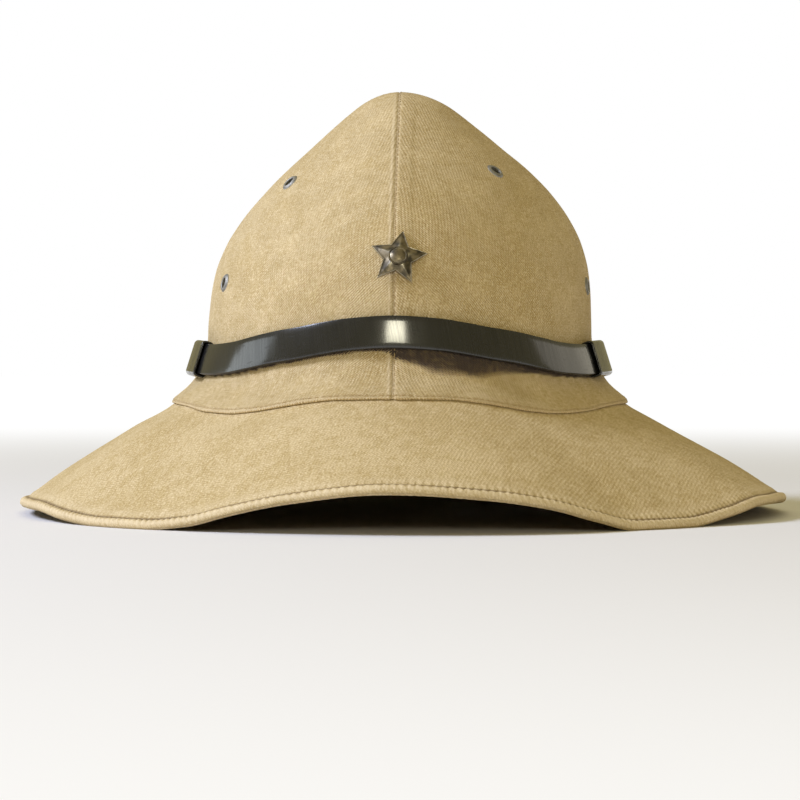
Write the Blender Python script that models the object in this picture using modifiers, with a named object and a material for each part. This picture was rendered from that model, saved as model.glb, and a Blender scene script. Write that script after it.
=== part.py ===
"""A bush hat in cotton cloth, modelled with Blender 4.5.

The crown is four gores that flare out over the brim. The brim has a thick rolled edge, a facing
under it, a band inside the crown, a doubled chin strap with two keepers, four eyelets and a star
badge on a clasp. Lengths are metres, Z is up, the front faces -Y and the hat rests on Z = 0.
"""
import math

import bmesh
import bpy
import numpy as np
from mathutils import Matrix, Vector
from mathutils.bvhtree import BVHTree

# Sizes
CROWN_HALF_WIDTH = 0.0870
CROWN_HALF_DEPTH = 0.1070
PEAK_HEIGHT = 0.1905
FLARE_WIDTH = 0.0170        # how far the crown's foot spreads over the brim
FLARE_RISE = 0.0300         # from the stitched foot up to the straight wall
FLANGE_HEIGHT = 0.0535      # the stitched foot above the floor, at the front
BRIM_SLANT = 0.0800         # from the stitched foot to the middle of the rolled edge
BRIM_SWAY = 0.0008          # how much farther it reaches on the right, and less on the left
BRIM_BOW = 0.0014           # how far the brim arches above a straight line
EDGE_LIFT = 0.0165          # the rolled edge above the floor, at the front
EDGE_RADIUS = 0.0021
CLOTH = 0.0015
BRIM_CLOTH = 0.0013
FACING_CLOTH = 0.0010
BAND_CLOTH = 0.0014
GAP = 0.0003                # kept between pieces that lie on each other
STRAP_HEIGHT = 0.0810       # middle of the strap above the floor, at the front
STRAP_WIDTH = 0.0138
STRAP_THICKNESS = 0.0011
KEEPER_THICKNESS = 0.0010
KEEPER_AZIMUTH = 77.0
KEEPER_HALF_ANGLE = 3.0
STRAP_END_AZIMUTH = 84.0
EYELET_RADIUS = 0.0042
EYELET_BORE = 0.0023
BARREL_RADIUS = 0.0029
BADGE_HEIGHT = 0.1120
BADGE_SIDESTEP = 0.0022     # the badge sits this far to the right of the front seam
BADGE_RADIUS = 0.0128
BADGE_TURN = 5.0
BOSS_RADIUS = 0.0042
POST_RADIUS = 0.0012
CLASP_RADIUS = 0.0050
HAT_PLACE = (-0.0013, 0.0019, 0.0)      # brings the middle of the hat's box over the origin
STATIONS = 52               # steps round the hat, shared by pieces that lie on each other
SHARP_ANGLE = 40.0          # edges that turn by more than this are shaded sharp


def table(names, rows):
    """Named columns of a table that is written row by row."""
    return dict(zip(names.split(), np.array(rows, float).T))


# Where each eyelet is: azimuth in degrees and height
EYELETS = {
    "eyelet_left_upper": (-53.2, 0.1475), "eyelet_left_lower": (-61.4, 0.1030),
    "eyelet_right_upper": (45.0, 0.1520), "eyelet_right_lower": (77.7, 0.1020),
}
# Round the hat, from the front (0) to the back (180): shares of EDGE_LIFT on each side, of
# FLANGE_HEIGHT and STRAP_HEIGHT, and the strap's stand-off as a share of STRAP_THICKNESS
ROUND = table("azimuth right left flange strap standoff", [
    (0, 1.00, 1.00, 1.000, 1.000, 1.2),
    (12, 0.84, 0.74, 0.995, 0.986, 1.2),
    (20, 0.60, 0.42, 0.970, 0.963, 1.2),
    (27, 0.26, 0.12, 0.933, 0.939, 1.2),
    (34, 0.00, 0.00, 0.897, 0.920, 1.2),
    (43, 0.00, 0.00, 0.876, 0.889, 1.2),
    (52, 0.20, 0.10, 0.885, 0.862, 1.2),
    (62, 0.42, 0.26, 0.918, 0.852, 1.4),
    (74, 0.42, 0.24, 0.934, 0.858, 1.95),
    (80, 0.36, 0.22, 0.935, 0.860, 1.95),
    (90, 0.24, 0.17, 0.933, 0.848, 1.0),
    (104, 0.07, 0.07, 0.908, 0.832, 0.7),
    (114, 0.00, 0.00, 0.890, 0.827, 0.6),
    (126, 0.00, 0.00, 0.882, 0.824, 0.6),
    (138, 0.06, 0.34, 0.888, 0.824, 0.6),
    (150, 0.14, 0.56, 0.898, 0.826, 0.6),
    (165, 0.20, 0.40, 0.902, 0.828, 0.6),
    (180, 0.26, 0.26, 0.900, 0.828, 0.6),
])
# The crown's foot: shares of FLARE_WIDTH and FLARE_RISE, from the stitched edge upward
FLARE = table("out rise", [
    (1.000, 0.000), (0.800, 0.103), (0.600, 0.197), (0.430, 0.296), (0.290, 0.410),
    (0.175, 0.537), (0.090, 0.683), (0.030, 0.845), (0.000, 1.000),
])
# The crown from its wall to the peak: shares of the rise, of the half-width and half-depth, of
# the half-width that it leans to the right, and of roundness against a corner at each seam
CROWN = table("rise width depth lean round", [
    (0.000, 1.000, 1.000, 0.000, 1.00),
    (0.140, 0.992, 0.992, 0.004, 0.96),
    (0.260, 0.972, 0.968, 0.010, 0.91),
    (0.370, 0.927, 0.925, 0.020, 0.86),
    (0.480, 0.848, 0.852, 0.032, 0.82),
    (0.590, 0.736, 0.748, 0.041, 0.80),
    (0.680, 0.623, 0.640, 0.040, 0.79),
    (0.765, 0.499, 0.520, 0.034, 0.79),
    (0.840, 0.391, 0.412, 0.028, 0.80),
    (0.905, 0.292, 0.310, 0.023, 0.83),
    (0.950, 0.213, 0.226, 0.018, 0.87),
    (0.980, 0.132, 0.140, 0.012, 0.92),
])
CROWN_RINGS = (0.0, 0.12, 0.24, 0.35, 0.45, 0.55, 0.65, 0.75, 0.83, 0.90, 0.95, 0.98)
# The band inside the crown: shares of FLARE_WIDTH and FLARE_RISE, from its lower edge upward
BAND = table("out rise", [
    (0.470, 0.020), (0.420, 0.160), (0.220, 0.350), (0.020, 0.600), (-0.120, 0.950),
    (-0.133, 1.200),
])
# The brim from the stitched foot (0) to the rolled edge (1): shares of BRIM_BOW
BRIM = table("slant bow", [(0.0, 0.0), (0.3, 0.8), (0.6, 1.0), (0.86, 0.5)])
# How far up under the flare the brim ends, and the facing too at the second of them
INNER_SHARES = (0.197, 0.103)
EDGE_ANGLES = (148, 100, 52, 5, -42, -90, -130, -170)


def smooth(x, xs, ys):
    """Value at x of a curve through the points that never overshoots them."""
    h, d = np.diff(xs), np.diff(ys) / np.diff(xs)
    m = np.zeros(len(xs))
    for i in range(1, len(xs) - 1):
        if d[i - 1] * d[i] > 0:
            a, b = 2 * h[i] + h[i - 1], h[i] + 2 * h[i - 1]
            m[i] = (a + b) / (a / d[i - 1] + b / d[i])
    i = int(np.clip(np.searchsorted(xs, x) - 1, 0, len(h) - 1))
    t = (x - xs[i]) / h[i]
    return float(ys[i] * (1 + 2 * t) * (1 - t) ** 2 + m[i] * h[i] * t * (1 - t) ** 2
                 + ys[i + 1] * t * t * (3 - 2 * t) + m[i + 1] * h[i] * t * t * (t - 1))


def wrapped(azimuth):
    return (azimuth + 180.0) % 360.0 - 180.0


def around(name, azimuth):
    return smooth(abs(wrapped(azimuth)), ROUND["azimuth"], ROUND[name])


def edge_height(azimuth):
    side = "right" if wrapped(azimuth) >= 0 else "left"
    return EDGE_LIFT * around(side, azimuth)


def flange_height(azimuth):
    return FLANGE_HEIGHT * around("flange", azimuth)


def out_at(azimuth, out, z):
    """Point at a distance outside the crown's wall and at a height."""
    s, c = math.sin(math.radians(azimuth)), math.cos(math.radians(azimuth))
    normal = Vector((s / CROWN_HALF_WIDTH, -c / CROWN_HALF_DEPTH, 0)).normalized()
    return Vector((CROWN_HALF_WIDTH * s, -CROWN_HALF_DEPTH * c, z)) + normal * out


def crown_point(azimuth, rise):
    """Point of the crown's outer surface above its flare."""
    width, depth, lean, roundness = (
        smooth(rise, CROWN["rise"], CROWN[k]) for k in ("width", "depth", "lean", "round"))
    foot = flange_height(azimuth) + FLARE_RISE

    def on_oval(a):
        s, c = math.sin(math.radians(a)), math.cos(math.radians(a))
        side = width + lean if s > 0 else width - lean
        return Vector((CROWN_HALF_WIDTH * side * s, -CROWN_HALF_DEPTH * depth * c, 0))

    seam = 90.0 * math.floor(azimuth / 90.0)
    chord = on_oval(seam).lerp(on_oval(seam + 90.0), (azimuth - seam) / 90.0)
    point = chord.lerp(on_oval(azimuth), roundness)
    point.z = foot + (PEAK_HEIGHT - foot) * rise
    return point


def flare_out(rise):
    """How far out the crown's flare is at a height above the stitched foot."""
    return FLARE_WIDTH * smooth(min(rise / FLARE_RISE, 1.0), FLARE["rise"], FLARE["out"])


def under_flare(share, drop):
    """Out and rise of a line that runs under the flare at a distance from its surface."""
    rise = FLARE_RISE * share
    step = 0.0005
    run = flare_out(max(rise - step, 0.0)) - flare_out(rise + step)
    climb = rise + step - max(rise - step, 0.0)
    size = math.hypot(run, climb)
    return flare_out(rise) - drop * climb / size, rise - drop * run / size


def add_material(name, colour, roughness, metallic=0.0):
    material = bpy.data.materials.new(name)
    material.use_nodes = True
    shader = material.node_tree.nodes["Principled BSDF"]
    shader.inputs["Base Color"].default_value = (*colour, 1.0)
    shader.inputs["Roughness"].default_value = roughness
    shader.inputs["Metallic"].default_value = metallic
    material.diffuse_color = (*colour, 1.0)
    return material


def add_object(name, bm, collection, material=None):
    """Object made of a bmesh, which is freed."""
    mesh = bpy.data.meshes.new(name)
    bm.to_mesh(mesh)
    bm.free()
    mesh.shade_smooth()
    mesh.set_sharp_from_angle(angle=math.radians(SHARP_ANGLE))
    obj = bpy.data.objects.new(name, mesh)
    collection.objects.link(obj)
    if material:
        mesh.materials.append(material)
    return obj


def loft(rings, around_closed=True, along_closed=False, pole=None):
    """Surface of triangles through rings of points that go up and anticlockwise from above."""
    bm = bmesh.new()
    grid = [[bm.verts.new(p) for p in ring] for ring in rings]
    rows, count = len(grid), len(grid[0])
    for i in range(rows if along_closed else rows - 1):
        low, high = grid[i], grid[(i + 1) % rows]
        for j in range(count if around_closed else count - 1):
            k = (j + 1) % count
            bm.faces.new((low[j], low[k], high[k]))
            bm.faces.new((low[j], high[k], high[j]))
    if pole is not None:
        tip = bm.verts.new(pole)
        for j in range(count):
            bm.faces.new((grid[-1][j], grid[-1][(j + 1) % count], tip))
    return bm


def solidify(obj, thickness, offset=-1.0):
    modifier = obj.modifiers.new("Thickness", 'SOLIDIFY')
    modifier.thickness = thickness
    modifier.offset = offset
    modifier.use_even_offset = True
    return modifier


def boolean(obj, operation, cutter):
    modifier = obj.modifiers.new(cutter.name, 'BOOLEAN')
    modifier.operation = operation
    modifier.object = cutter
    modifier.solver = 'EXACT'
    return modifier


def frame_at(point, normal, turn=0.0):
    """Matrix at a point with Z along the normal, and Y as near up as it can be."""
    z = Vector(normal).normalized()
    x = Vector((0, 0, 1)).cross(z).normalized()
    rotation = Matrix((x, z.cross(x), z)).transposed().to_4x4()
    return Matrix.Translation(point) @ rotation @ Matrix.Rotation(math.radians(turn), 4, 'Z')


def crown_rings():
    azimuths = [j * 360.0 / STATIONS for j in range(STATIONS)]
    rings = []
    for out, rise in zip(FLARE["out"][:-1], FLARE["rise"][:-1]):
        rings.append([out_at(a, FLARE_WIDTH * out, flange_height(a) + FLARE_RISE * rise)
                      for a in azimuths])
    for rise in CROWN_RINGS:
        rings.append([crown_point(a, rise) for a in azimuths])
    return rings


def surface_at(tree, azimuth, height):
    """Place on the crown's outer faces, looking level at its axis, and the mean normal there."""
    hits = []
    for turn in (0.0, -2.5, 2.5):
        aim = math.radians(azimuth + turn)
        outward = Vector((math.sin(aim), -math.cos(aim), 0))
        hits.append(tree.ray_cast(outward * 0.4 + Vector((0, 0, height)), -outward))
    return hits[0][0], sum((hit[1] for hit in hits), Vector()).normalized()


def build_gores(parts, cutters, cloth, punches):
    names = ("crown_front_right", "crown_back_right", "crown_back_left", "crown_front_left")
    for name, (sx, sy) in zip(names, ((1, -1), (1, 1), (-1, 1), (-1, -1))):
        gore = add_object(name, loft(crown_rings(), pole=(0, 0, PEAK_HEIGHT)), parts, cloth)
        solidify(gore, CLOTH)
        bm = bmesh.new()
        bmesh.ops.create_cube(bm, size=0.3)
        quarter = add_object("quarter_" + name, bm, cutters)
        quarter.location = (sx * (0.15 + GAP / 2), sy * (0.15 + GAP / 2), 0.12)
        boolean(gore, 'INTERSECT', quarter)
        boolean(gore, 'DIFFERENCE', punches)


def brim_lines(azimuth, drop):
    """Out and height of points along the brim, at a distance under the crown's surface."""
    foot, edge = flange_height(azimuth), edge_height(azimuth) + EDGE_RADIUS - GAP
    fall = foot - edge
    slant = BRIM_SLANT + BRIM_SWAY * math.sin(math.radians(azimuth))
    reach = math.sqrt(slant ** 2 - fall ** 2)
    along = Vector((reach, -fall)).normalized()
    up = Vector((-along.y, along.x))
    start = Vector((FLARE_WIDTH, foot)) - up * drop
    middle = Vector((FLARE_WIDTH + reach, edge))
    end = middle + up * (0.0011 + CLOTH + GAP - drop) - along * 0.0018
    points = []
    for slant, bow in zip(BRIM["slant"], BRIM["bow"]):
        points.append(start.lerp(end, slant) + up * BRIM_BOW * bow)
    return points, middle, along, up


def brim_section(azimuth):
    foot = flange_height(azimuth)
    section = []
    for share in INNER_SHARES:
        out, rise = under_flare(share, CLOTH + GAP)
        section.append((out, foot + rise))
    top, middle, along, up = brim_lines(azimuth, CLOTH + GAP)
    section += [tuple(p) for p in top]
    for angle in EDGE_ANGLES:
        turn = math.radians(angle)
        section.append(tuple(middle + EDGE_RADIUS * (along * math.cos(turn) + up * math.sin(turn))))
    bottom = brim_lines(azimuth, CLOTH + GAP + BRIM_CLOTH)[0]
    section += [tuple(p) for p in reversed(bottom)]
    for share in reversed(INNER_SHARES):
        out, rise = under_flare(share, CLOTH + GAP + BRIM_CLOTH)
        section.append((out, foot + rise))
    return [out_at(azimuth, out, max(z, 0.0)) for out, z in reversed(section)]


def build_brim(parts, cloth):
    sections = [brim_section(j * 360.0 / STATIONS) for j in range(STATIONS)]
    bm = loft(sections, along_closed=True)
    bmesh.ops.recalc_face_normals(bm, faces=bm.faces)
    add_object("brim", bm, parts, cloth)


def build_facings(parts, cloth):
    drop = CLOTH + GAP + BRIM_CLOTH + GAP
    half = STATIONS // 4
    for name, centre, side in (("brim_facing_front", 0.0, -1), ("brim_facing_back", 180.0, 1)):
        columns = []
        for j in range(-half, half + 1):
            azimuth = centre + j * 90.0 / half
            foot = flange_height(azimuth)
            out, rise = under_flare(INNER_SHARES[1], drop)
            points = [(out, foot + rise)]
            lines, middle, along, up = brim_lines(azimuth, drop)
            points += [tuple(p) for p in lines]
            last = middle - along * (EDGE_RADIUS + 0.0008) + up * (0.0011 - BRIM_CLOTH - GAP)
            points.append(tuple(last))
            column = [out_at(azimuth, o, z) for o, z in points]
            if abs(j) == half:
                for p in column:
                    p.y = side * 0.0002
            columns.append(column)
        facing = add_object(name, loft(columns, around_closed=False), parts, cloth)
        solidify(facing, FACING_CLOTH)


def build_band(parts, cloth):
    azimuths = [j * 360.0 / STATIONS for j in range(STATIONS)]
    rings = [[out_at(a, FLARE_WIDTH * out, flange_height(a) + FLARE_RISE * rise) for a in azimuths]
             for out, rise in zip(BAND["out"], BAND["rise"])]
    band = add_object("sweatband", loft(rings), parts, cloth)
    solidify(band, BAND_CLOTH)


def strap_frame(azimuth):
    """Lower inner corner of the strap, its upward direction and its outward direction."""
    middle = STRAP_HEIGHT * around("strap", azimuth)
    foot = flange_height(azimuth)
    off = STRAP_THICKNESS * around("standoff", azimuth)
    low, high = middle - STRAP_WIDTH / 2, middle + STRAP_WIDTH / 2
    bottom = out_at(azimuth, flare_out(low - foot) + off, low)
    top = out_at(azimuth, flare_out(high - foot) + off, high)
    up = (top - bottom).normalized()
    level = out_at(azimuth, 1.0, 0.0) - out_at(azimuth, 0.0, 0.0)
    return bottom, up, (level - up * level.dot(up)).normalized()


def strap_section(azimuth, start):
    bottom, up, out = strap_frame(azimuth)
    shape = ((0, 0), (0, 0.85), (0.10, 1.0), (0.90, 1.0), (1, 0.85), (1, 0))
    return [bottom + up * STRAP_WIDTH * v + out * (start + STRAP_THICKNESS * w) for v, w in shape]


def build_strap(parts, leather):
    sections = [strap_section(j * 360.0 / STATIONS, 0.0) for j in range(STATIONS)]
    bm = loft(sections, along_closed=True)
    bmesh.ops.recalc_face_normals(bm, faces=bm.faces)
    add_object("chin_strap", bm, parts, leather)

    turns = np.linspace(-STRAP_END_AZIMUTH, STRAP_END_AZIMUTH, 29)
    start = STRAP_THICKNESS + GAP
    bm = loft([strap_section(a, start) for a in turns])
    edges = [e for e in bm.edges if e.is_boundary]
    bmesh.ops.holes_fill(bm, edges=edges, sides=0)
    bmesh.ops.recalc_face_normals(bm, faces=bm.faces)
    add_object("chin_strap_front", bm, parts, leather)


def build_keepers(parts, leather):
    room = 0.0004
    depth = 2 * STRAP_THICKNESS + GAP + room
    for name, side in (("strap_keeper_left", -1), ("strap_keeper_right", 1)):
        sections = []
        for turn in (-KEEPER_HALF_ANGLE, 0.0, KEEPER_HALF_ANGLE):
            bottom, up, out = strap_frame(side * (KEEPER_AZIMUTH + turn))
            corners = ((-room, -room), (-room, depth), (STRAP_WIDTH + room, depth),
                       (STRAP_WIDTH + room, -room))
            sections.append([bottom + up * v + out * w for v, w in corners])
        bm = loft(sections)
        bmesh.ops.recalc_face_normals(bm, faces=bm.faces)
        keeper = add_object(name, bm, parts, leather)
        solidify(keeper, KEEPER_THICKNESS, 1.0)


def turned(name, profile, steps, collection, material, matrix):
    """Turned piece: a profile of radius and height, from its top down, swept round Z."""
    bm = bmesh.new()
    verts = [bm.verts.new((r, 0, z)) for r, z in profile]
    closed = profile[0][0] > 0
    for i in range(len(verts) if closed else len(verts) - 1):
        bm.edges.new((verts[i], verts[(i + 1) % len(verts)]))
    obj = add_object(name, bm, collection, material)
    screw = obj.modifiers.new("Turn", 'SCREW')
    screw.steps = screw.render_steps = steps
    screw.use_merge_vertices = True
    screw.merge_threshold = 0.00001
    obj.matrix_world = matrix
    return obj


def build_eyelets(parts, metal, places):
    top, back = 0.0005, -CLOTH - 0.0005
    profile = [
        (EYELET_BORE, top + 0.0005), (EYELET_BORE + 0.0005, top + 0.0008),
        (EYELET_RADIUS - 0.0006, top + 0.0008), (EYELET_RADIUS, top + 0.0003),
        (EYELET_RADIUS - 0.0001, top), (BARREL_RADIUS, top), (BARREL_RADIUS, back),
        (EYELET_RADIUS, back), (EYELET_RADIUS, back - 0.0005), (EYELET_BORE, back - 0.0005),
    ]
    for name, (place, normal) in places.items():
        turned(name, profile, 10, parts, metal, frame_at(place, normal))


def build_punches(cutters, places, badge_frame):
    """Round punches through the crown's cloth: one for each eyelet and one for the badge."""
    bm = bmesh.new()
    holes = [(frame_at(*place), BARREL_RADIUS + GAP) for place in places.values()]
    holes.append((badge_frame, POST_RADIUS + GAP))
    for matrix, radius in holes:
        bmesh.ops.create_cone(bm, cap_ends=True, segments=12, radius1=radius, radius2=radius,
                              depth=0.016, matrix=matrix)
    return add_object("punches", bm, cutters)


def build_badge(parts, cutters, bronze, steel, matrix):
    """Five-pointed star with a raised rim and a plain round boss, on a post with a disc."""
    bm = bmesh.new()
    outline = []
    for k in range(10):
        radius = BADGE_RADIUS * (1.0 if k % 2 == 0 else 0.43)
        turn = math.radians(90 + 36 * k)
        outline.append(Vector((radius * math.cos(turn), radius * math.sin(turn), 0)))
    rings = []
    for size, height in ((1.0, 0.0), (1.0, 0.0008), (0.93, 0.0012), (0.80, 0.0009)):
        rings.append([bm.verts.new((p.x * size, p.y * size, height)) for p in outline])
    for low, high in zip(rings, rings[1:]):
        for j in range(10):
            k = (j + 1) % 10
            bm.faces.new((low[j], low[k], high[k], high[j]))
    peak = bm.verts.new((0, 0, 0.0019))
    for j in range(10):
        bm.faces.new((rings[-1][j], rings[-1][(j + 1) % 10], peak))
    bm.faces.new(list(reversed(rings[0])))
    star = add_object("star_badge", bm, parts, bronze)
    star.matrix_world = matrix @ Matrix.Rotation(math.radians(-BADGE_TURN), 4, 'Z')
    boss = turned("boss", [(0, 0.0025), (BOSS_RADIUS - 0.0005, 0.0023), (BOSS_RADIUS, 0.0018),
                           (BOSS_RADIUS, 0.0006), (0, 0.0006)], 16, cutters, bronze, matrix)
    boolean(star, 'UNION', boss)
    turned("badge_clasp", [(0, -GAP), (POST_RADIUS, -GAP), (POST_RADIUS, -0.0044),
                           (CLASP_RADIUS, -0.0044), (CLASP_RADIUS, -0.0054), (0, -0.0054)],
           12, parts, steel, matrix)


def main():
    for obj in list(bpy.data.objects):
        bpy.data.objects.remove(obj, do_unlink=True)
    parts = bpy.data.collections.new("bush_hat")
    cutters = bpy.data.collections.new("bush_hat_cutters")
    for collection in (parts, cutters):
        bpy.context.scene.collection.children.link(collection)

    cloth = add_material("khaki_cloth", (0.56, 0.42, 0.23), 0.92)
    lining = add_material("underbrim_cloth", (0.38, 0.28, 0.15), 0.94)
    olive = add_material("olive_band_cloth", (0.13, 0.13, 0.08), 0.85)
    leather = add_material("black_leather", (0.012, 0.012, 0.014), 0.32)
    oxide = add_material("oxidised_metal", (0.16, 0.16, 0.14), 0.55, 1.0)
    bronze = add_material("bronze_badge", (0.24, 0.20, 0.12), 0.42, 1.0)
    steel = add_material("clasp_metal", (0.45, 0.44, 0.42), 0.40, 1.0)

    outer = loft(crown_rings(), pole=(0, 0, PEAK_HEIGHT))
    outer.normal_update()
    tree = BVHTree.FromBMesh(outer)
    outer.free()
    places = {name: surface_at(tree, *spot) for name, spot in EYELETS.items()}
    ridge, right = surface_at(tree, 0.0, BADGE_HEIGHT), surface_at(tree, 4.5, BADGE_HEIGHT)
    facing = Vector((0, right[1].y, right[1].z)).normalized()
    spot = ridge[0] + Vector((BADGE_SIDESTEP, 0, 0)) + facing * GAP
    badge_frame = frame_at(spot, facing)

    punches = build_punches(cutters, places, badge_frame)
    build_gores(parts, cutters, cloth, punches)
    build_brim(parts, cloth)
    build_facings(parts, lining)
    build_band(parts, olive)
    build_strap(parts, leather)
    build_keepers(parts, leather)
    build_eyelets(parts, oxide, places)
    build_badge(parts, cutters, bronze, steel, badge_frame)

    hat = bpy.data.objects.new("bush_hat_frame", None)
    hat.location = HAT_PLACE
    parts.objects.link(hat)
    for obj in list(parts.objects) + list(cutters.objects):
        if obj != hat:
            obj.parent = hat
    for obj in cutters.objects:
        obj.hide_render = True
        obj.display_type = 'WIRE'


if __name__ == "__main__":
    main()
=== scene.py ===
"""A bush hat in tan cotton cloth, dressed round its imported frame.

Lengths are metres in the frame's own axes: Z is up, the front faces -Y and the brim rests on
Z = 0. An azimuth is in degrees round the hat from the front, positive to the right. Shapes are
worked out round the crown's own axis and moved by HAT_PLACE when their meshes are made.
"""
import math

import bmesh
import bpy
import numpy as np
from bpy.props import FloatProperty, FloatVectorProperty, PointerProperty
from mathutils import Matrix, Vector
from mathutils.kdtree import KDTree


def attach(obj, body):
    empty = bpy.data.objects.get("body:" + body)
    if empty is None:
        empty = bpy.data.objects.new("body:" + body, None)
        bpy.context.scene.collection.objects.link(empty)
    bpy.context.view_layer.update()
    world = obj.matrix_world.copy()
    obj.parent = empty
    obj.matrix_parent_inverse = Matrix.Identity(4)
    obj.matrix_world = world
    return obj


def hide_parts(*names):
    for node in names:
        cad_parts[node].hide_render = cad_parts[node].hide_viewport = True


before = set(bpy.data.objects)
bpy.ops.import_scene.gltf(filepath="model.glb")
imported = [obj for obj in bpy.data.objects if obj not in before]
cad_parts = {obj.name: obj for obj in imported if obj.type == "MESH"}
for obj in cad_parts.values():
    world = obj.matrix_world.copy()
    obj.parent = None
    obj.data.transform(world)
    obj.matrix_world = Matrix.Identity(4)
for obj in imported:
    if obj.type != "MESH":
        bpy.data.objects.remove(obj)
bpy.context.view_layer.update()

bl_info = {
    "name": "Bush hat",
    "version": (1, 0, 0),
    "blender": (4, 5, 0),
    "location": "View3D > Sidebar > Bush hat",
    "description": "The cloth, leather and metal of a bush hat, and its stage",
    "category": "Add Mesh",
}

BODY = "root"
TURN = 2 * math.pi
HAT_PLACE = np.array((-0.0013, 0.0019, 0.0))
# The crown's gores: the azimuth where each begins, and the side that its ribs lean to
GORES = (("crown_front_right", 0.0, 1), ("crown_back_right", 90.0, -1),
         ("crown_back_left", 180.0, 1), ("crown_front_left", 270.0, -1))
EYELETS = ("eyelet_left_upper", "eyelet_left_lower", "eyelet_right_upper", "eyelet_right_lower")


def table(names, rows):
    """Named columns of a table that is written row by row."""
    return dict(zip(names.split(), np.array(rows, float).T))


# Round the hat, from the front (0) to the back (180): shares of edge_lift on each side, of
# flange_height and strap_height, and the strap's stand-off as a share of strap_thickness
ROUND = table("azimuth right left flange strap standoff", [
    (0, 1, 1, 1, 1, 1.2), (12, 0.84, 0.74, 0.995, 0.986, 1.2), (20, 0.6, 0.42, 0.97, 0.963, 1.2),
    (27, 0.26, 0.12, 0.933, 0.939, 1.2), (34, 0, 0, 0.897, 0.92, 1.2),
    (43, 0, 0, 0.876, 0.889, 1.2), (52, 0.2, 0.1, 0.885, 0.862, 1.2),
    (62, 0.42, 0.26, 0.918, 0.852, 1.4), (74, 0.42, 0.24, 0.934, 0.858, 1.95),
    (80, 0.36, 0.22, 0.935, 0.86, 1.95), (90, 0.24, 0.17, 0.933, 0.848, 1.0),
    (104, 0.07, 0.07, 0.908, 0.832, 0.7), (114, 0, 0, 0.89, 0.827, 0.6),
    (126, 0, 0, 0.882, 0.824, 0.6), (138, 0.06, 0.34, 0.888, 0.824, 0.6),
    (150, 0.14, 0.56, 0.898, 0.826, 0.6), (165, 0.2, 0.4, 0.902, 0.828, 0.6),
    (180, 0.26, 0.26, 0.9, 0.828, 0.6),
])
# The crown's foot: shares of flare_width and flare_rise, from the stitched edge upward
FLARE = table("out rise", [
    (1, 0), (0.8, 0.103), (0.6, 0.197), (0.43, 0.296), (0.29, 0.41), (0.175, 0.537),
    (0.09, 0.683), (0.03, 0.845), (0, 1),
])
# The crown from its wall to the start of its round tip: shares of the rise, of the half-width and
# half-depth, of the half-width that it leans to the right, and of roundness against a corner
CROWN = table("rise width depth lean round", [
    (0, 1, 1, 0, 1), (0.14, 0.992, 0.992, 0.004, 0.96), (0.26, 0.972, 0.968, 0.01, 0.91),
    (0.37, 0.927, 0.925, 0.02, 0.86), (0.48, 0.848, 0.852, 0.032, 0.82),
    (0.59, 0.736, 0.748, 0.041, 0.8), (0.68, 0.623, 0.64, 0.04, 0.79),
    (0.765, 0.499, 0.52, 0.034, 0.79), (0.84, 0.391, 0.412, 0.028, 0.8),
    (0.905, 0.292, 0.31, 0.023, 0.83), (0.95, 0.213, 0.226, 0.018, 0.87),
])
TIP_RISE = 0.95
# Darkening of the crown under the strap, by azimuth: dye rubbed on at the front right, and a thin
# dark band along the strap's lower edge elsewhere, and how far it reaches below that edge
DYE = table("azimuth reach", [
    (-180, 0.0004), (-20, 0.0005), (-5, 0.0008), (-1, 0.0016), (0, 0.0036), (4, 0.0064),
    (9, 0.0086), (15, 0.0098), (21, 0.0092), (28, 0.007), (35, 0.0044), (42, 0.0024),
    (53, 0.0009), (180, 0.0004),
])
# The band inside the crown: shares of flare_width and flare_rise, from its lower edge upward
BAND = table("out rise", [
    (0.47, 0.02), (0.42, 0.16), (0.22, 0.35), (0.02, 0.6), (-0.12, 0.95), (-0.133, 1.2),
])
# The brim from the stitched foot (0) to the groove inside the rolled edge (1): shares of brim_bow
BRIM = table("slant bow", [(0, 0), (0.3, 0.8), (0.6, 1), (0.86, 0.5), (1, 0)])
# A stitch: shares of its length, and its lift and thickness as shares of the thread's radius
STITCH = table("along lift thick", [
    (0, -1.1, 0.6), (0.1, -0.25, 0.95), (0.32, 0.15, 1), (0.68, 0.15, 1), (0.9, -0.25, 0.95),
    (1, -1.1, 0.6),
])

GORE_COLUMNS = 141
FOOT_ROWS = np.concatenate((np.linspace(0, 0.11, 12)[:-1], np.linspace(0.11, 1.0, 28)))
WALL_ROWS = 108
TIP_END = 0.99998           # share of the rise where the tip's small hole begins
SEAM_GAP = 0.000008
SEAM_DEPTH = 0.00035
ALLOWANCE_WIDTH = 0.0085    # the pressed seam allowance that lifts the cloth beside a seam
ALLOWANCE_LIFT = 0.00032
HEM_TUCK = 0.0006           # how much thinner the crown's cloth is at its folded foot
HEM_POINTS = 4
STITCH_DENT = 0.00022
BRIM_COLUMNS = 600
FACING_COLUMNS = 301
FLARE_LOW, FLARE_HIGH = 0.103, 0.197    # how far up the flare the brim and its facing reach
GROOVE_HEIGHT = 0.0011      # where the brim's sheet meets its rolled edge, from the roll's middle
GROOVE_INSET = 0.0018
GROOVE_COLUMNS = 1500
ROLL_COLUMNS = 1800
ROLL_POINTS = 24
GATHER_COUNT = 368          # gathers round the rolled edge
GATHER_LIFT = 0.00026
BAND_COLUMNS = 480
BAND_STITCHES = 0.0032      # height of the band's stitches above its lower edge
STRAP_COLUMNS = 540
FRONT_LAYER_COLUMNS = 281
FRONT_LAYER_END = 84.0      # azimuth where the strap's front layer ends
CUTTER_LENGTH = 0.014       # of the round bars that punch the holes
FLOOR_RADIUS = 6.0
KEEPER_AZIMUTH, KEEPER_HALF_ANGLE = 73.5, 6.5
STAR_TURN = 3.5             # degrees clockwise from where its solid points
STAR_DOME = 0.002           # how far its middle stands above its tips
STAR_NOTCH = 0.5            # its inner points, as a share of its radius
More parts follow.
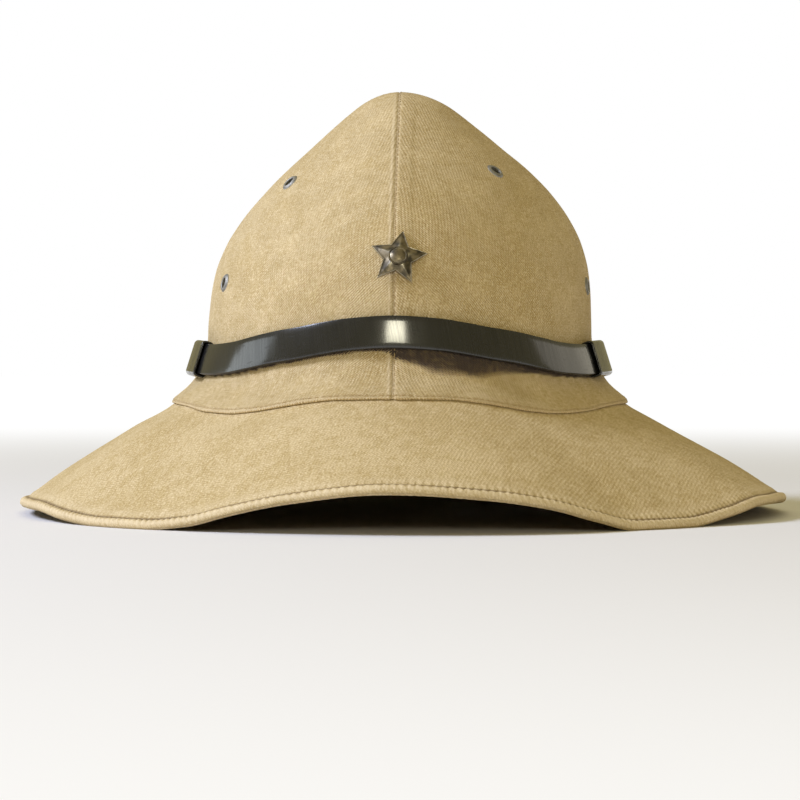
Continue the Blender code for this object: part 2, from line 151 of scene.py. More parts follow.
RIB_ANGLE = math.radians(48)            # how far a rib of the cloth leans from upright


def curve(x, xs, ys, end=0.0):
    """Values at x of a curve through the points that never overshoots them, level at its start
    and with a slope at its end."""
    h, d = np.diff(xs), np.diff(ys) / np.diff(xs)
    m = np.zeros(len(xs))
    a, b = 2 * h[1:] + h[:-1], h[1:] + 2 * h[:-1]
    rising = d[:-1] * d[1:] > 0
    before, after = np.where(rising, d[:-1], 1.0), np.where(rising, d[1:], 1.0)
    m[1:-1] = np.where(rising, (a + b) / (a / before + b / after), 0.0)
    m[-1] = end
    i = np.clip(np.searchsorted(xs, x) - 1, 0, len(h) - 1)
    t = (x - xs[i]) / h[i]
    return (ys[i] * (1 + 2 * t) * (1 - t) ** 2 + m[i] * h[i] * t * (1 - t) ** 2
            + ys[i + 1] * t * t * (3 - 2 * t) + m[i + 1] * h[i] * t * t * (t - 1))


def all_round(count, first=0.0):
    """Azimuths round the whole hat."""
    return first + 360.0 * np.arange(count) / count


def wrapped(azimuth):
    return (azimuth + 180.0) % 360.0 - 180.0


def around(name, azimuth):
    return curve(np.abs(wrapped(azimuth)), ROUND["azimuth"], ROUND[name])


def step(x, low, high):
    """Rises smoothly from 0 at low to 1 at high."""
    t = np.clip((x - low) / (high - low), 0.0, 1.0)
    return t * t * (3 - 2 * t)


def hump(x, centre, width):
    return np.exp(-((x - centre) / width) ** 2)


def unevenness(u, v, size, seed):
    """Soft noise from -1 to 1 over two coordinates, with bumps of a size."""
    cells = 64
    grid = np.random.default_rng(seed).uniform(-1, 1, (cells, cells))
    x, y = u / size, v / size
    i, j = np.floor(x).astype(int), np.floor(y).astype(int)
    fx, fy = step(x - i, 0.0, 1.0), step(y - j, 0.0, 1.0)
    near, far = (grid[i % cells, k % cells] * (1 - fx) + grid[(i + 1) % cells, k % cells] * fx
                 for k in (j, j + 1))
    return near * (1 - fy) + far * fy


def stacked(*parts):
    """Arrays spread to one shape and set side by side along a new last axis."""
    return np.stack(np.broadcast_arrays(*parts), axis=-1)


def joined(*parts):
    """Rows of points, one part after the other, turned into sections for swept."""
    return np.concatenate(parts).swapaxes(0, 1)


def unit(v):
    return v / np.maximum(np.linalg.norm(v, axis=-1, keepdims=True), 1e-12)


def normals_of(grid):
    """Normals of a grid of points, which point out where its columns run anticlockwise."""
    return unit(np.cross(np.gradient(grid, axis=1), np.gradient(grid, axis=0)))


def lengths_along(points, axis=0):
    """Distance along rows or columns of points, from the first of each."""
    steps = np.diff(points, axis=axis, prepend=np.take(points, [0], axis=axis))
    return np.cumsum(np.linalg.norm(steps, axis=-1), axis=axis)


def distances(grid, column):
    """Straight distance of each point of a grid from its row's point in a column."""
    return np.linalg.norm(grid - grid[:, column][:, None], axis=-1)


def at_distance(grid, lengths, value, axis=0):
    """Points where a length that grows along an axis of a grid reaches a value."""
    if axis == 0:
        grid, lengths = np.swapaxes(grid, 0, 1), lengths.T
    return np.array([[np.interp(value, run, row[:, k]) for k in range(3)]
                     for row, run in zip(grid, lengths)])


def denser_ends(count, zone, factor):
    """Shares from 0 to 1, packed closer by a factor within a zone at each end."""
    t = np.linspace(0, 1, 2001)
    density = 1 + (factor - 1) * (hump(t, 0, zone) + hump(t, 1, zone))
    total = np.concatenate(([0], np.cumsum((density[1:] + density[:-1]) / 2)))
    return np.interp(np.linspace(0, total[-1], count), total, t)


class HatShape:
    """The hat's surfaces, worked out from its sizes. A flat pair is (out of the wall, height)."""

    def __init__(self, sizes):
        self.size = sizes

    def flange(self, azimuth):
        return self.size.flange_height * around("flange", azimuth)

    def edge(self, azimuth):
        right, left = around("right", azimuth), around("left", azimuth)
        return self.size.edge_lift * np.where(wrapped(azimuth) >= 0, right, left)

    def out_at(self, azimuth, out, z):
        """Points at a distance outside the crown's wall and at a height."""
        a = np.radians(azimuth)
        s, c = np.sin(a), np.cos(a)
        width, depth = self.size.crown_half_width, self.size.crown_half_depth
        nx, ny = s / width, -c / depth
        size = np.hypot(nx, ny)
        return stacked(width * s + out * nx / size, -depth * c + out * ny / size, z)

    def outward(self, azimuth):
        return self.out_at(azimuth, 1.0, 0.0) - self.out_at(azimuth, 0.0, 0.0)

    def tilted(self, azimuth, out, rise):
        """Directions that run out of the wall and up by two shares."""
        return self.outward(azimuth) * out[..., None] + rise[..., None] * (0, 0, 1)

    def flare_out(self, rise):
        share = np.clip(rise / self.size.flare_rise, 0.0, 1.0)
        return self.size.flare_width * curve(share, FLARE["rise"], FLARE["out"])

    def flare_point(self, azimuth, share):
        """Points of the crown's outer surface on its flare, at shares of flare_rise."""
        rise = self.size.flare_rise * share
        return self.out_at(azimuth, self.flare_out(rise), self.flange(azimuth) + rise)

    def sharp_wall(self, azimuth, rise):
        low = np.minimum(rise, TIP_RISE)
        width, depth, lean = (
            curve(low, CROWN["rise"], CROWN[k], -CROWN[k][-1] / (2 - 2 * TIP_RISE))
            for k in ("width", "depth", "lean"))
        roundness = curve(low, CROWN["rise"], CROWN["round"])
        tip = np.sqrt(np.clip((1 - rise) / (1 - TIP_RISE), 0.0, 1.0))
        half_width, half_depth = self.size.crown_half_width, self.size.crown_half_depth

        def on_oval(turn):
            s, c = np.sin(np.radians(turn)), np.cos(np.radians(turn))
            side = np.where(s > 0, width + lean, width - lean)
            return half_width * side * s * tip, -half_depth * depth * c * tip

        seam = 90.0 * np.floor(azimuth / 90.0)
        share = (azimuth - seam) / 90.0
        foot = self.flange(azimuth) + self.size.flare_rise
        z = foot + (self.size.peak_height - foot) * rise
        flat = [a * (1 - share) + b * share
                for a, b in zip(on_oval(seam), on_oval(seam + 90.0))]
        plan = [f * (1 - roundness) + o * roundness for f, o in zip(flat, on_oval(azimuth))]
        return stacked(*plan, z)

    def wall(self, azimuth, rise):
        """Points of the crown above its flare, with its corners at the seams eased."""
        ease = ((-1.6, 0.12), (-0.8, 0.22), (0.0, 0.32), (0.8, 0.22), (1.6, 0.12))
        return sum(self.sharp_wall(azimuth + turn, rise) * share for turn, share in ease)

    def under_flare(self, azimuth, share, drop):
        """Points of a line that runs under the flare at a distance from its surface."""
        rise, reach = self.size.flare_rise * share, 0.0005
        low, high = max(rise - reach, 0.0), rise + reach
        run, climb = self.flare_out(low) - self.flare_out(high), high - low
        size = math.hypot(run, climb)
        height = self.flange(azimuth) + (rise - drop * run / size)
        return self.out_at(azimuth, self.flare_out(rise) - drop * climb / size, height)

    def brim_frame(self, azimuth):
        """Foot of the brim, middle of its rolled edge, and its directions along and up, flat."""
        size = self.size
        foot, edge = self.flange(azimuth), self.edge(azimuth) + size.edge_radius - size.gap
        fall = foot - edge
        length = size.brim_slant + size.brim_sway * np.sin(np.radians(azimuth))
        reach = np.sqrt(length ** 2 - fall ** 2)
        along = stacked(reach, -fall) / length[..., None]
        up = stacked(-along[..., 1], along[..., 0])
        return stacked(size.flare_width, foot), stacked(size.flare_width + reach, edge), along, up

    def brim_row(self, azimuth, share, drop):
        """Points at a share of the brim's slant and a distance under the crown's surface."""
        size = self.size
        foot, middle, along, up = self.brim_frame(azimuth)
        start = foot - up * drop
        end = middle + up * (GROOVE_HEIGHT + size.cloth + size.gap - drop) - along * GROOVE_INSET
        bow = size.brim_bow * curve(share, BRIM["slant"], BRIM["bow"])
        return self.out_at(azimuth, *(start * (1 - share) + end * share + up * bow).T)

    def brim_rows(self, azimuth, flares, shares, drop):
        """Rows of points under the flare, and then along the brim."""
        return np.array([self.under_flare(azimuth, share, drop) for share in flares]
                        + [self.brim_row(azimuth, share, drop) for share in shares])

    def roll_frame(self, azimuth):
        """Middle of the rolled edge, and its directions out along the brim and up off it."""
        _, middle, along, up = self.brim_frame(azimuth)
        return (self.out_at(azimuth, *middle.T), self.tilted(azimuth, *along.T),
                self.tilted(azimuth, *up.T))

    def strap_frame(self, azimuth):
        """Lower inner corner of the strap, its upward direction and its outward direction."""
        size, foot = self.size, self.flange(azimuth)
        middle = size.strap_height * around("strap", azimuth)
        off = size.strap_thickness * around("standoff", azimuth)
        bottom, top = (self.out_at(azimuth, self.flare_out(z - foot) + off, z)
                       for z in (middle - size.strap_width / 2, middle + size.strap_width / 2))
        up, level = unit(top - bottom), self.outward(azimuth)
        return bottom, up, unit(level - up * np.sum(level * up, axis=-1, keepdims=True))


def attribute(mesh, name, values):
    layer = mesh.attributes.get(name) or mesh.attributes.new(name, 'FLOAT_VECTOR', 'POINT')
    layer.data.foreach_set("vector", np.ascontiguousarray(values, np.float32).ravel())


def mesh_object(name, points, faces, grain=None, marks=None, sharp=50.0):
    """Closed mesh, turned outward, with the cloth's grain and its marks kept on its points."""
    spread = points.shape
    points = points.reshape(-1, 3) + HAT_PLACE
    corners = points[faces]
    volume = sum((corners[:, 0] * np.cross(corners[:, k], corners[:, k + 1])).sum()
                 for k in range(1, faces.shape[1] - 1))
    if volume < 0:
        faces = faces[:, ::-1]
    mesh = bpy.data.meshes.new(name)
    mesh.from_pydata(points.tolist(), [], faces.tolist())
    mesh.shade_smooth()
    mesh.set_sharp_from_angle(angle=math.radians(sharp))
    for key, values in (("grain", grain), ("marks", marks)):
        if values is not None:
            attribute(mesh, key, np.broadcast_to(values, spread))
    obj = bpy.data.objects.new(name, mesh)
    bpy.context.scene.collection.objects.link(obj)
    return obj


def numbered(*shape):
    return np.arange(math.prod(shape)).reshape(shape)


def belt(low, high):
    """Quads between closed rings of point numbers."""
    return stacked(low, np.roll(low, -1, axis=-1), np.roll(high, -1, axis=-1), high).reshape(-1, 4)


def swept(name, sections, closed, **extras):
    """Shell through closed sections, which are the rows of an array of points."""
    index = numbered(*sections.shape[:2])
    if closed:
        return mesh_object(name, sections, belt(index, np.roll(index, -1, axis=0)), **extras)
    faces = [belt(index[:-1], index[1:])]
    half = index.shape[1] // 2
    for row, order in ((index[0], (1, 0, 3, 2)), (index[-1], (0, 1, 2, 3))):
        back = row[::-1]
        corners = (row[:half - 1], row[1:half], back[1:half], back[:half - 1])
        faces.append(stacked(*(corners[k] for k in order)))
    return mesh_object(name, sections, np.concatenate(faces), **extras)


class Value:
    """Output of a shader node. Sums and products of values add the nodes that work them out."""

    def __init__(self, nodes, socket):
        self.nodes, self.socket = nodes, socket

    def math(self, operation, *values):
        return self.nodes.add("ShaderNodeMath", {"operation": operation}, dict(enumerate(values)))

    def __add__(self, other):
        return self.math('ADD', self, other)

    def __mul__(self, other):
        return self.math('MULTIPLY', self, other)

    def __sub__(self, other):
        return self.math('SUBTRACT', self, other)

    def __rsub__(self, other):
        return self.math('SUBTRACT', other, self)

    __radd__, __rmul__ = __add__, __mul__

    def sine(self):
        return self.math('SINE', self)

    def wave(self):
        """Sine of the value, brought between 0 and 1."""
        return self.sine() * 0.5 + 0.5

    def between(self, low, high, start=0.0, end=1.0):
        """Runs smoothly from start to end as the value goes from low to high."""
        sockets = {"Value": self, "From Min": low, "From Max": high, "To Min": start, "To Max": end}
        return self.nodes.add("ShaderNodeMapRange", {"interpolation_type": 'SMOOTHSTEP'}, sockets)


class Nodes:
    """A tree of shader nodes."""

    def __init__(self, tree):
        self.tree = tree

    def feed(self, node, sockets):
        """Gives a node's sockets their values or links."""
        for key, value in sockets.items():
            if isinstance(value, Value):
                self.tree.links.new(value.socket, node.inputs[key])
            else:
                node.inputs[key].default_value = value

    def add(self, kind, settings, sockets, output=0):
        """Adds a node with its settings and its sockets' values or links."""
        node = self.tree.nodes.new(kind)
        for key, value in settings.items():
            setattr(node, key, value)
        self.feed(node, sockets)
        return Value(self, node.outputs[output])

    def read(self, name):
        """The three parts of a value kept on the mesh's points."""
        kept = self.add("ShaderNodeAttribute", {"attribute_name": name}, {}, "Vector")
        first = self.add("ShaderNodeSeparateXYZ", {}, {0: kept})
        return [Value(self, output) for output in first.socket.node.outputs]

    def vector(self, x, y, z=0.0):
        return self.add("ShaderNodeCombineXYZ", {}, {0: x, 1: y, 2: z})

    def place(self):
        return self.add("ShaderNodeTexCoord", {}, {}, "Object")

    def noise(self, where, scale=1.0, detail=2.0):
        sockets = {"Vector": where, "Scale": scale, "Detail": detail}
        return self.add("ShaderNodeTexNoise", {}, sockets)

    def mix(self, share, start, end):
        """Colour between two, at a share of the way."""
        start, end = (c if isinstance(c, Value) else (*c, 1.0) for c in (start, end))
        settings = {"data_type": 'RGBA', "clamp_factor": True}
        return self.add("ShaderNodeMix", settings, {0: share, 6: start, 7: end}, 2)

    def bump(self, height, distance, strength, **under):
        sockets = {"Strength": strength, "Distance": distance, "Height": height, **under}
        return self.add("ShaderNodeBump", {}, sockets)


def cloth_finish(f, colours, share, ribs, contrast, depth):
    """Woven cloth: diagonal ribs, uneven threads, fibres, and marks. The first mark is painted
    shade in seams, grooves and stitch lines, with real dirt spots on the facing; the second is
    wear, and on the rolled edge also a painted highlight. The third mark is for gathers, or for
    rubbed dye where the cloth has a colour of it."""
    # seam is the colour of the painted shade in seams, grooves and stitch lines; rubbed is the
    # colour of wear, also used for a painted highlight on the rolled edge
    main, dark, hollows, fibres, rubbed, seam, *dye = colours
    pitch = share * bpy.context.scene.hat_sizes.rib_pitch
    u, v, side = f.read("grain")
    shade_and_dirt, wear, third = f.read("marks")
    place = f.vector(u, v, side)
    across = u * side
    drift = f.noise(place, 120.0) * 0.0022
    diagonal = across * math.sin(RIB_ANGLE) + v * math.cos(RIB_ANGLE) + drift
    along = across * math.cos(RIB_ANGLE) - v * math.sin(RIB_ANGLE)
    rib = (diagonal * (TURN / pitch)).wave()
    floats = (along * (TURN / (1.7 * pitch)) + diagonal * (TURN * 0.37 / pitch)).wave()
    strands = f.noise(f.vector(diagonal * 1500.0, along * 620.0, side))
    warp = f.noise(f.vector(u * 1100.0, v * 70.0, side))
    weft = f.noise(f.vector(u * 70.0, v * 1100.0, side))
    fibre, fleck, patch = (f.noise(place, scale) for scale in (2600.0, 1300.0, 340.0))
    mottle, blotch = f.noise(place, 150.0, 3.0), f.noise(place, 26.0, 3.0)

    tone = blotch * 0.35 + mottle * 0.35 + patch * 0.30
    colour = f.mix(tone.between(0.42, 0.58), dark, main)
    clear = f.noise(place, 60.0, 3.0).between(0.32, 0.60, 0.45 * ribs, ribs)
    line = 0.5 + (rib * (0.5 + 0.5 * floats) - 0.4) * clear
    hollow = (1 - line) * 0.65 + (1 - strands) * 0.72 + (1 - warp) * 0.38
    colour = f.mix(hollow.between(0.66, 1.18) * contrast, colour, hollows)
    pale = strands * 0.4 + fleck * 0.45 + line * 0.2 + fibre * 0.2
    colour = f.mix(pale.between(0.56, 0.82) * contrast, colour, fibres)
    # Lightens rubbed places (on the rolled edge also a painted highlight), then paints shade into
    # seams, grooves and stitch lines, along with the facing's dirt spots
    colour = f.mix(shade_and_dirt, f.mix(wear, colour, rubbed), seam)
    swell = mottle * 0.5
    if dye:
        stain = (third * 1.15 + (line - 0.5) * 1.3 + (fibre - 0.5) * 1.8 + (strands - 0.5) * 1.4
                 + (patch - 0.5) * 0.5)
        stain = stain.between(0.20, 0.90) * third.between(0.0, 0.30) * 0.97
        colour = f.mix(stain, colour, dye[0])
    else:
        turn = u.math('ARCTAN2', u, 0 - v)
        swell = swell + (turn * GATHER_COUNT).sine() * third

    height = line * 0.80 + floats * 0.2 + strands * 0.5 + warp * 0.4 + weft * 0.4 + fibre * 0.3
    return {
        "Base Color": colour, "Roughness": fibre * 0.12 + 0.70,
        "Normal": f.bump(swell, 0.0004, 0.7, Normal=f.bump(height, depth, 0.9)),
        "Specular IOR Level": 0.30, "Sheen Weight": 0.06, "Sheen Roughness": 0.5,
        "Sheen Tint": (*fibres, 1.0),
    }


def leather_finish(f, colours):
    """Polished black leather: fine pores, streaks in its polish, scuffs and dull worn edges."""
    main, dull, edge = colours
    u, v, _ = f.read("grain")
    _, wear, _ = f.read("marks")
    place = f.vector(u, v)
    pores, cloud = f.noise(place, 1500.0, 3.0), f.noise(place, 95.0, 4.0)
    streaks = f.noise(f.vector(u * 1500.0 + v * 260.0, v * 30.0), 1.0, 3.0)
    scuffs = f.noise(f.vector(u * 160.0, v * 620.0), 1.0, 4.0).between(0.62, 0.72)
    dust = f.noise(place, 700.0).between(0.72, 0.80)
    colour = f.mix(cloud.between(0.4, 0.7) * 0.6, main, dull)
    colour = f.mix(wear, f.mix(scuffs * 0.25 + dust * 0.15, colour, edge), edge)
    relief = pores * 0.4 + streaks * 0.1 + cloud * 2.0
    polish = (1 - wear) * (1 - scuffs * 0.3) * streaks.between(0.35, 0.62, 0.80, 1.0)
    return {
        "Base Color": colour, "Normal": f.bump(relief, 0.0001, 0.3),
        "Roughness": streaks * 0.08 + cloud * 0.15 + scuffs * 0.10 + wear * 0.20 + 0.24,
        "Specular IOR Level": 0.12, "Coat Weight": polish, "Coat Roughness": 0.14,
        "Coat IOR": 1.68,
    }


def metal_finish(f, colours, roughness, scale):
    """Old metal: tarnish in its hollows, bare metal on its edges."""
    main, tarnish, bare = colours
    place = f.place()
    stain, speck = f.noise(place, scale, 4.0), f.noise(place, scale * 7.0, 3.0)
    edge = f.add("ShaderNodeNewGeometry", {}, {}, "Pointiness").between(0.505, 0.56)
    colour = f.mix(edge * 0.8, f.mix(stain.between(0.35, 0.68), main, tarnish), bare)
    return {
        "Base Color": colour, "Metallic": 1.0 - stain.between(0.45, 0.8) * 0.35,
        "Roughness": stain * 0.3 + roughness - edge * 0.12,
        "Normal": f.bump(speck + stain, 0.00008, 0.6),
    }


def thread_finish(f, colours):
    """Sewing thread with its twist."""
    u, v, _ = f.read("grain")
    twist = (u * (TURN / 0.0007) + v * 2.0).wave()
    fuzz = f.noise(f.vector(u, v * 0.001), 1800.0)
    return {
        "Base Color": f.mix(twist * 0.5 + fuzz * 0.5, *colours), "Roughness": 0.75,
        "Normal": f.bump(twist, 0.0001, 0.8), "Sheen Weight": 0.2,
    }


def floor_finish(f, colours):
    """Pale paper, faintly uneven, that glows farther out so that its edge can't be seen."""
    place = f.place()
    cloud = f.noise(place, 3.0)
    far = f.add("ShaderNodeVectorMath", {"operation": 'LENGTH'}, {0: place}, "Value")
    glow = far.between(0.3, 1.6)
    shade = f.mix(cloud * 0.06, colours[0], [c * 0.8 for c in colours[0]])
    return {
        "Base Color": f.mix(glow, shade, (0, 0, 0)), "Roughness": 0.9, "Specular IOR Level": 0.1,
        "Emission Color": f.mix(glow, (0, 0, 0), (1, 1, 1)), "Emission Strength": 1.0,
    }


TAN = "tan tan_dark tan_hollow tan_fibre tan_worn tan_seam"
# What makes each finish, its colours by their names, and its other values: for a cloth the share
# of rib_pitch, strength of the ribs, contrast and depth, and for a metal its roughness and grain
FINISHES = {
    "tan_twill": (cloth_finish, TAN + " tan_dyed", 1.0, 1.0, 0.66, 0.0003),
    "brim_twill": (cloth_finish, TAN, 1.0, 0.3, 0.6, 0.00028),
    "under_cloth": (cloth_finish, "under under_dark tan_seam tan_dark tan_dark tan_seam",
                    1.0, 0.2, 0.75, 0.0003),
    # The band's last colour, the black of the leather, paints shade along its stitch line
    "olive_webbing": (cloth_finish, "olive olive_dark olive_dark under_dark under_dark leather",
                      0.8, 1.0, 0.6, 0.0003),
    "sewing_thread": (thread_finish, "tan_hollow thread"),
    "polished_leather": (leather_finish, "leather leather_dull leather_edge"),
    "dull_oxide": (metal_finish, "oxide oxide_dark steel", 0.52, 500.0),
    "old_bronze": (metal_finish, "bronze bronze_tarnish bronze_edge", 0.28, 260.0),
    "clasp_steel": (metal_finish, "steel oxide_dark steel", 0.3, 400.0),
    "pale_paper": (floor_finish, "floor"),
}


def finish(name):
    """A material by its name, made when it is first asked for."""
    if name in bpy.data.materials:
        return bpy.data.materials[name]
    make, colours, *values = FINISHES[name]
    material = bpy.data.materials.new(name)
    material.use_nodes = True
    nodes = Nodes(material.node_tree)
    known = bpy.context.scene.hat_colours
    sockets = make(nodes, [getattr(known, key) for key in colours.split()], *values)
    nodes.feed(material.node_tree.nodes["Principled BSDF"], sockets)
    return material


def dress(obj, material, slot, *nodes):
    """Gives a piece its finish and its body, and hides what it stands for. The slot argument is not
    used.
    """
    obj.data.materials.append(finish(material))
    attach(obj, BODY)
    if nodes:
        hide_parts(*nodes)


def properties(make, rows, **settings):
    """Properties from rows of a key, a default and a description, each named after its key."""
    return {key: make(name=key.replace("_", " ").capitalize(), default=default, description=text,
                      **settings) for key, default, text in rows}


class HatSizes(bpy.types.PropertyGroup):
    """Driving sizes of the hat, the same as those of its solids, and sizes of its sewing."""

    __annotations__ = properties(FloatProperty, (
        ("crown_half_width", 0.087, "Half of the crown's width at its wall"),
        ("crown_half_depth", 0.107, "Half of the crown's length at its wall"),
        ("peak_height", 0.1905, "Height of the crown's tip"),
        ("flare_width", 0.017, "How far the crown's foot spreads over the brim"),
        ("flare_rise", 0.03, "From the stitched foot up to the straight wall"),
        ("flange_height", 0.0535, "Height of the stitched foot at the front"),
        ("brim_slant", 0.08, "From the stitched foot to the rolled edge"),
        ("brim_sway", 0.0008, "How much farther the brim reaches on the right"),
        ("brim_bow", 0.0014, "How far the brim arches above a straight line"),
        ("edge_lift", 0.0165, "Height of the rolled edge at the front"),
        ("edge_radius", 0.0021, "Radius of the rolled edge"),
        ("cloth", 0.0015, "Thickness of the crown's cloth"),
        ("brim_cloth", 0.0013, "Thickness of the brim's upper layer"),
        ("facing_cloth", 0.001, "Thickness of the layer under the brim"),
        ("band_cloth", 0.0014, "Thickness of the band inside the crown"),
        ("gap", 0.0003, "Room between pieces that lie on each other"),
        ("strap_height", 0.081, "Height of the strap's middle at the front"),
        ("strap_width", 0.0138, "Width of the chin strap"),
        ("strap_thickness", 0.0011, "Thickness of one layer of the strap"),
        ("keeper_thickness", 0.001, "Thickness of a keeper's leather"),
        ("badge_radius", 0.0128, "From the star's middle to a tip"),
        ("boss_radius", 0.0042, "Radius of the round boss on the star"),
        ("post_room", 0.0014, "Radius of the hole for the badge's post"),
        ("eyelet_radius", 0.0042, "Radius of an eyelet's rim"),
        ("eyelet_bore", 0.0023, "Radius of the hole through an eyelet"),
        ("eyelet_barrel", 0.0031, "Radius of the hole punched for an eyelet"),
        ("stitch_pitch", 0.0031, "From one stitch to the next"),
        ("stitch_length", 0.0023, "Length of thread that shows in a stitch"),
        ("stitch_inset", 0.0016, "From a folded edge to its stitches"),
        ("seam_inset", 0.0007, "From a seam of the crown to its stitches"),
        ("thread_radius", 0.00026, "Radius of the sewing thread"),
        ("rib_pitch", 0.00098, "From one diagonal rib of the cloth to the next"),
    ), unit='LENGTH', precision=4)


class HatColours(bpy.types.PropertyGroup):
    """Colours of the hat's materials and of its floor."""

    __annotations__ = properties(FloatVectorProperty, (
        ("tan", (0.602, 0.470, 0.258), "Crown and brim"),
        ("tan_dark", (0.480, 0.355, 0.158), "Deeper patches of the tan cloth"),
        ("tan_hollow", (0.330, 0.215, 0.090), "Hollows of the tan weave"),
        ("tan_fibre", (0.820, 0.700, 0.460), "Pale fibres of the tan cloth"),
        # Rubbed wear, and a painted highlight on the rolled edge's upper side and its gathers'
        # crests
        ("tan_worn", (0.760, 0.630, 0.430), "Rubbed folds and edges"),
        # Painted shade for seams, grooves and stitch lines, and for the facing's weave hollows
        ("tan_seam", (0.130, 0.080, 0.035), "Stitched hollows"),
        ("tan_dyed", (0.040, 0.027, 0.026), "Dye that the strap has rubbed off"),
        ("under", (0.400, 0.265, 0.135), "Facing under the brim"),
        ("under_dark", (0.320, 0.205, 0.100), "Deeper patches of the facing"),
        ("olive", (0.120, 0.120, 0.065), "Band inside the crown"),
        ("olive_dark", (0.075, 0.075, 0.040), "Deeper patches of the band"),
        ("thread", (0.540, 0.400, 0.195), "Sewing thread"),
        ("leather", (0.008, 0.008, 0.009), "Strap and keepers"),
        ("leather_dull", (0.011, 0.011, 0.013), "Clouded patches of polish"),
        ("leather_edge", (0.022, 0.021, 0.020), "Cut and rubbed edges"),
        ("bronze", (0.250, 0.208, 0.140), "Star badge"),
        ("bronze_tarnish", (0.050, 0.043, 0.031), "Hollows of the badge"),
        ("bronze_edge", (0.570, 0.525, 0.430), "Rubbed edges of the badge"),
        ("oxide", (0.230, 0.215, 0.180), "Eyelets"),
        ("oxide_dark", (0.085, 0.078, 0.060), "Hollows of the dull metals"),
        ("steel", (0.450, 0.440, 0.420), "Clasp behind the badge"),
        ("floor", (0.810, 0.803, 0.818), "Floor and backdrop"),
    ), size=3, subtype='COLOR', min=0.0, max=1.0)


class StageSizes(bpy.types.PropertyGroup):
    """Where the camera stands, and how strong the lights are."""

    __annotations__ = {**properties(FloatProperty, (
        ("distance", 1.481, "From the camera to the crown's axis"),
        ("aim_height", 0.0505, "Height that the middle of the view looks at"),
    ), unit='LENGTH', precision=4), **properties(FloatProperty, (
        ("azimuth", 1.6, "Degrees from the front round to the camera, to the right"),
        ("elevation", 1.0, "Degrees that the camera stands above the floor"),
        ("lens", 146.2, "Focal length in millimetres"),
        ("key", 66.0, "Watts of the light from the upper left"),
        ("front", 6.4, "Watts of the light from the front"),
        ("fill", 2.2, "Watts of the light from the right"),
        ("side", 5.5, "Watts of the light from the left"),
        ("far_side", 4.0, "Watts of the light from the right, behind the hat"),
        ("top", 5.0, "Watts of the light from above"),
        ("sky", 0.34, "Strength of the room's own light"),
    ))}


def gore_grid(shape, start):
    """Points of a gore's outer surface without its relief, from its foot up."""
    azimuth = start + 90.0 * denser_ends(GORE_COLUMNS, 0.03, 6)[None, :]
    probe = TIP_END - (1 - np.linspace(0, 1, 1500)) ** 2.5 * TIP_END
    run = lengths_along(shape.wall(np.full_like(probe, start + 45.0), probe))
    rises = np.interp(np.linspace(0, run[-1], WALL_ROWS), run, probe)[1:, None]
    grid = np.concatenate((shape.flare_point(azimuth, FOOT_ROWS[:, None]),
                           shape.wall(azimuth, rises)))
    middle = math.radians(start + 45.0)
    for axis, sign in ((0, np.sign(math.sin(middle))), (1, -np.sign(math.cos(middle)))):
        grid[..., axis] = sign * np.maximum(sign * grid[..., axis], SEAM_GAP)
    return grid


def hem(outer, inner, outward):
    """Points of a half round from an outer to an inner edge."""
    middle, half = (outer + inner) / 2, (outer - inner) / 2
    size = np.linalg.norm(half, axis=-1, keepdims=True)
    turns = np.pi * np.arange(1, HEM_POINTS + 1) / (HEM_POINTS + 1)
    return np.stack([middle + half * math.cos(t) + outward * size * math.sin(t) for t in turns])


def rubbed_dye(size, x, y, z):
    """How dark points of the crown are below the strap, from 0 to 1: dye rubbed on at the front
    right, and a thin dark band along the strap's lower edge elsewhere.
    """
    azimuth = np.degrees(np.arctan2(x / size.crown_half_width, -y / size.crown_half_depth))
    below = size.strap_height * around("strap", azimuth) - size.strap_width / 2 - z
    reach = np.interp(azimuth, DYE["azimuth"], DYE["reach"])
    reach = reach * (1 + 0.12 * unevenness(x, z, 0.009, 31))
    return (1 - step(below, 0.55 * reach, 1.2 * reach)) * step(below, -0.008, -0.005)


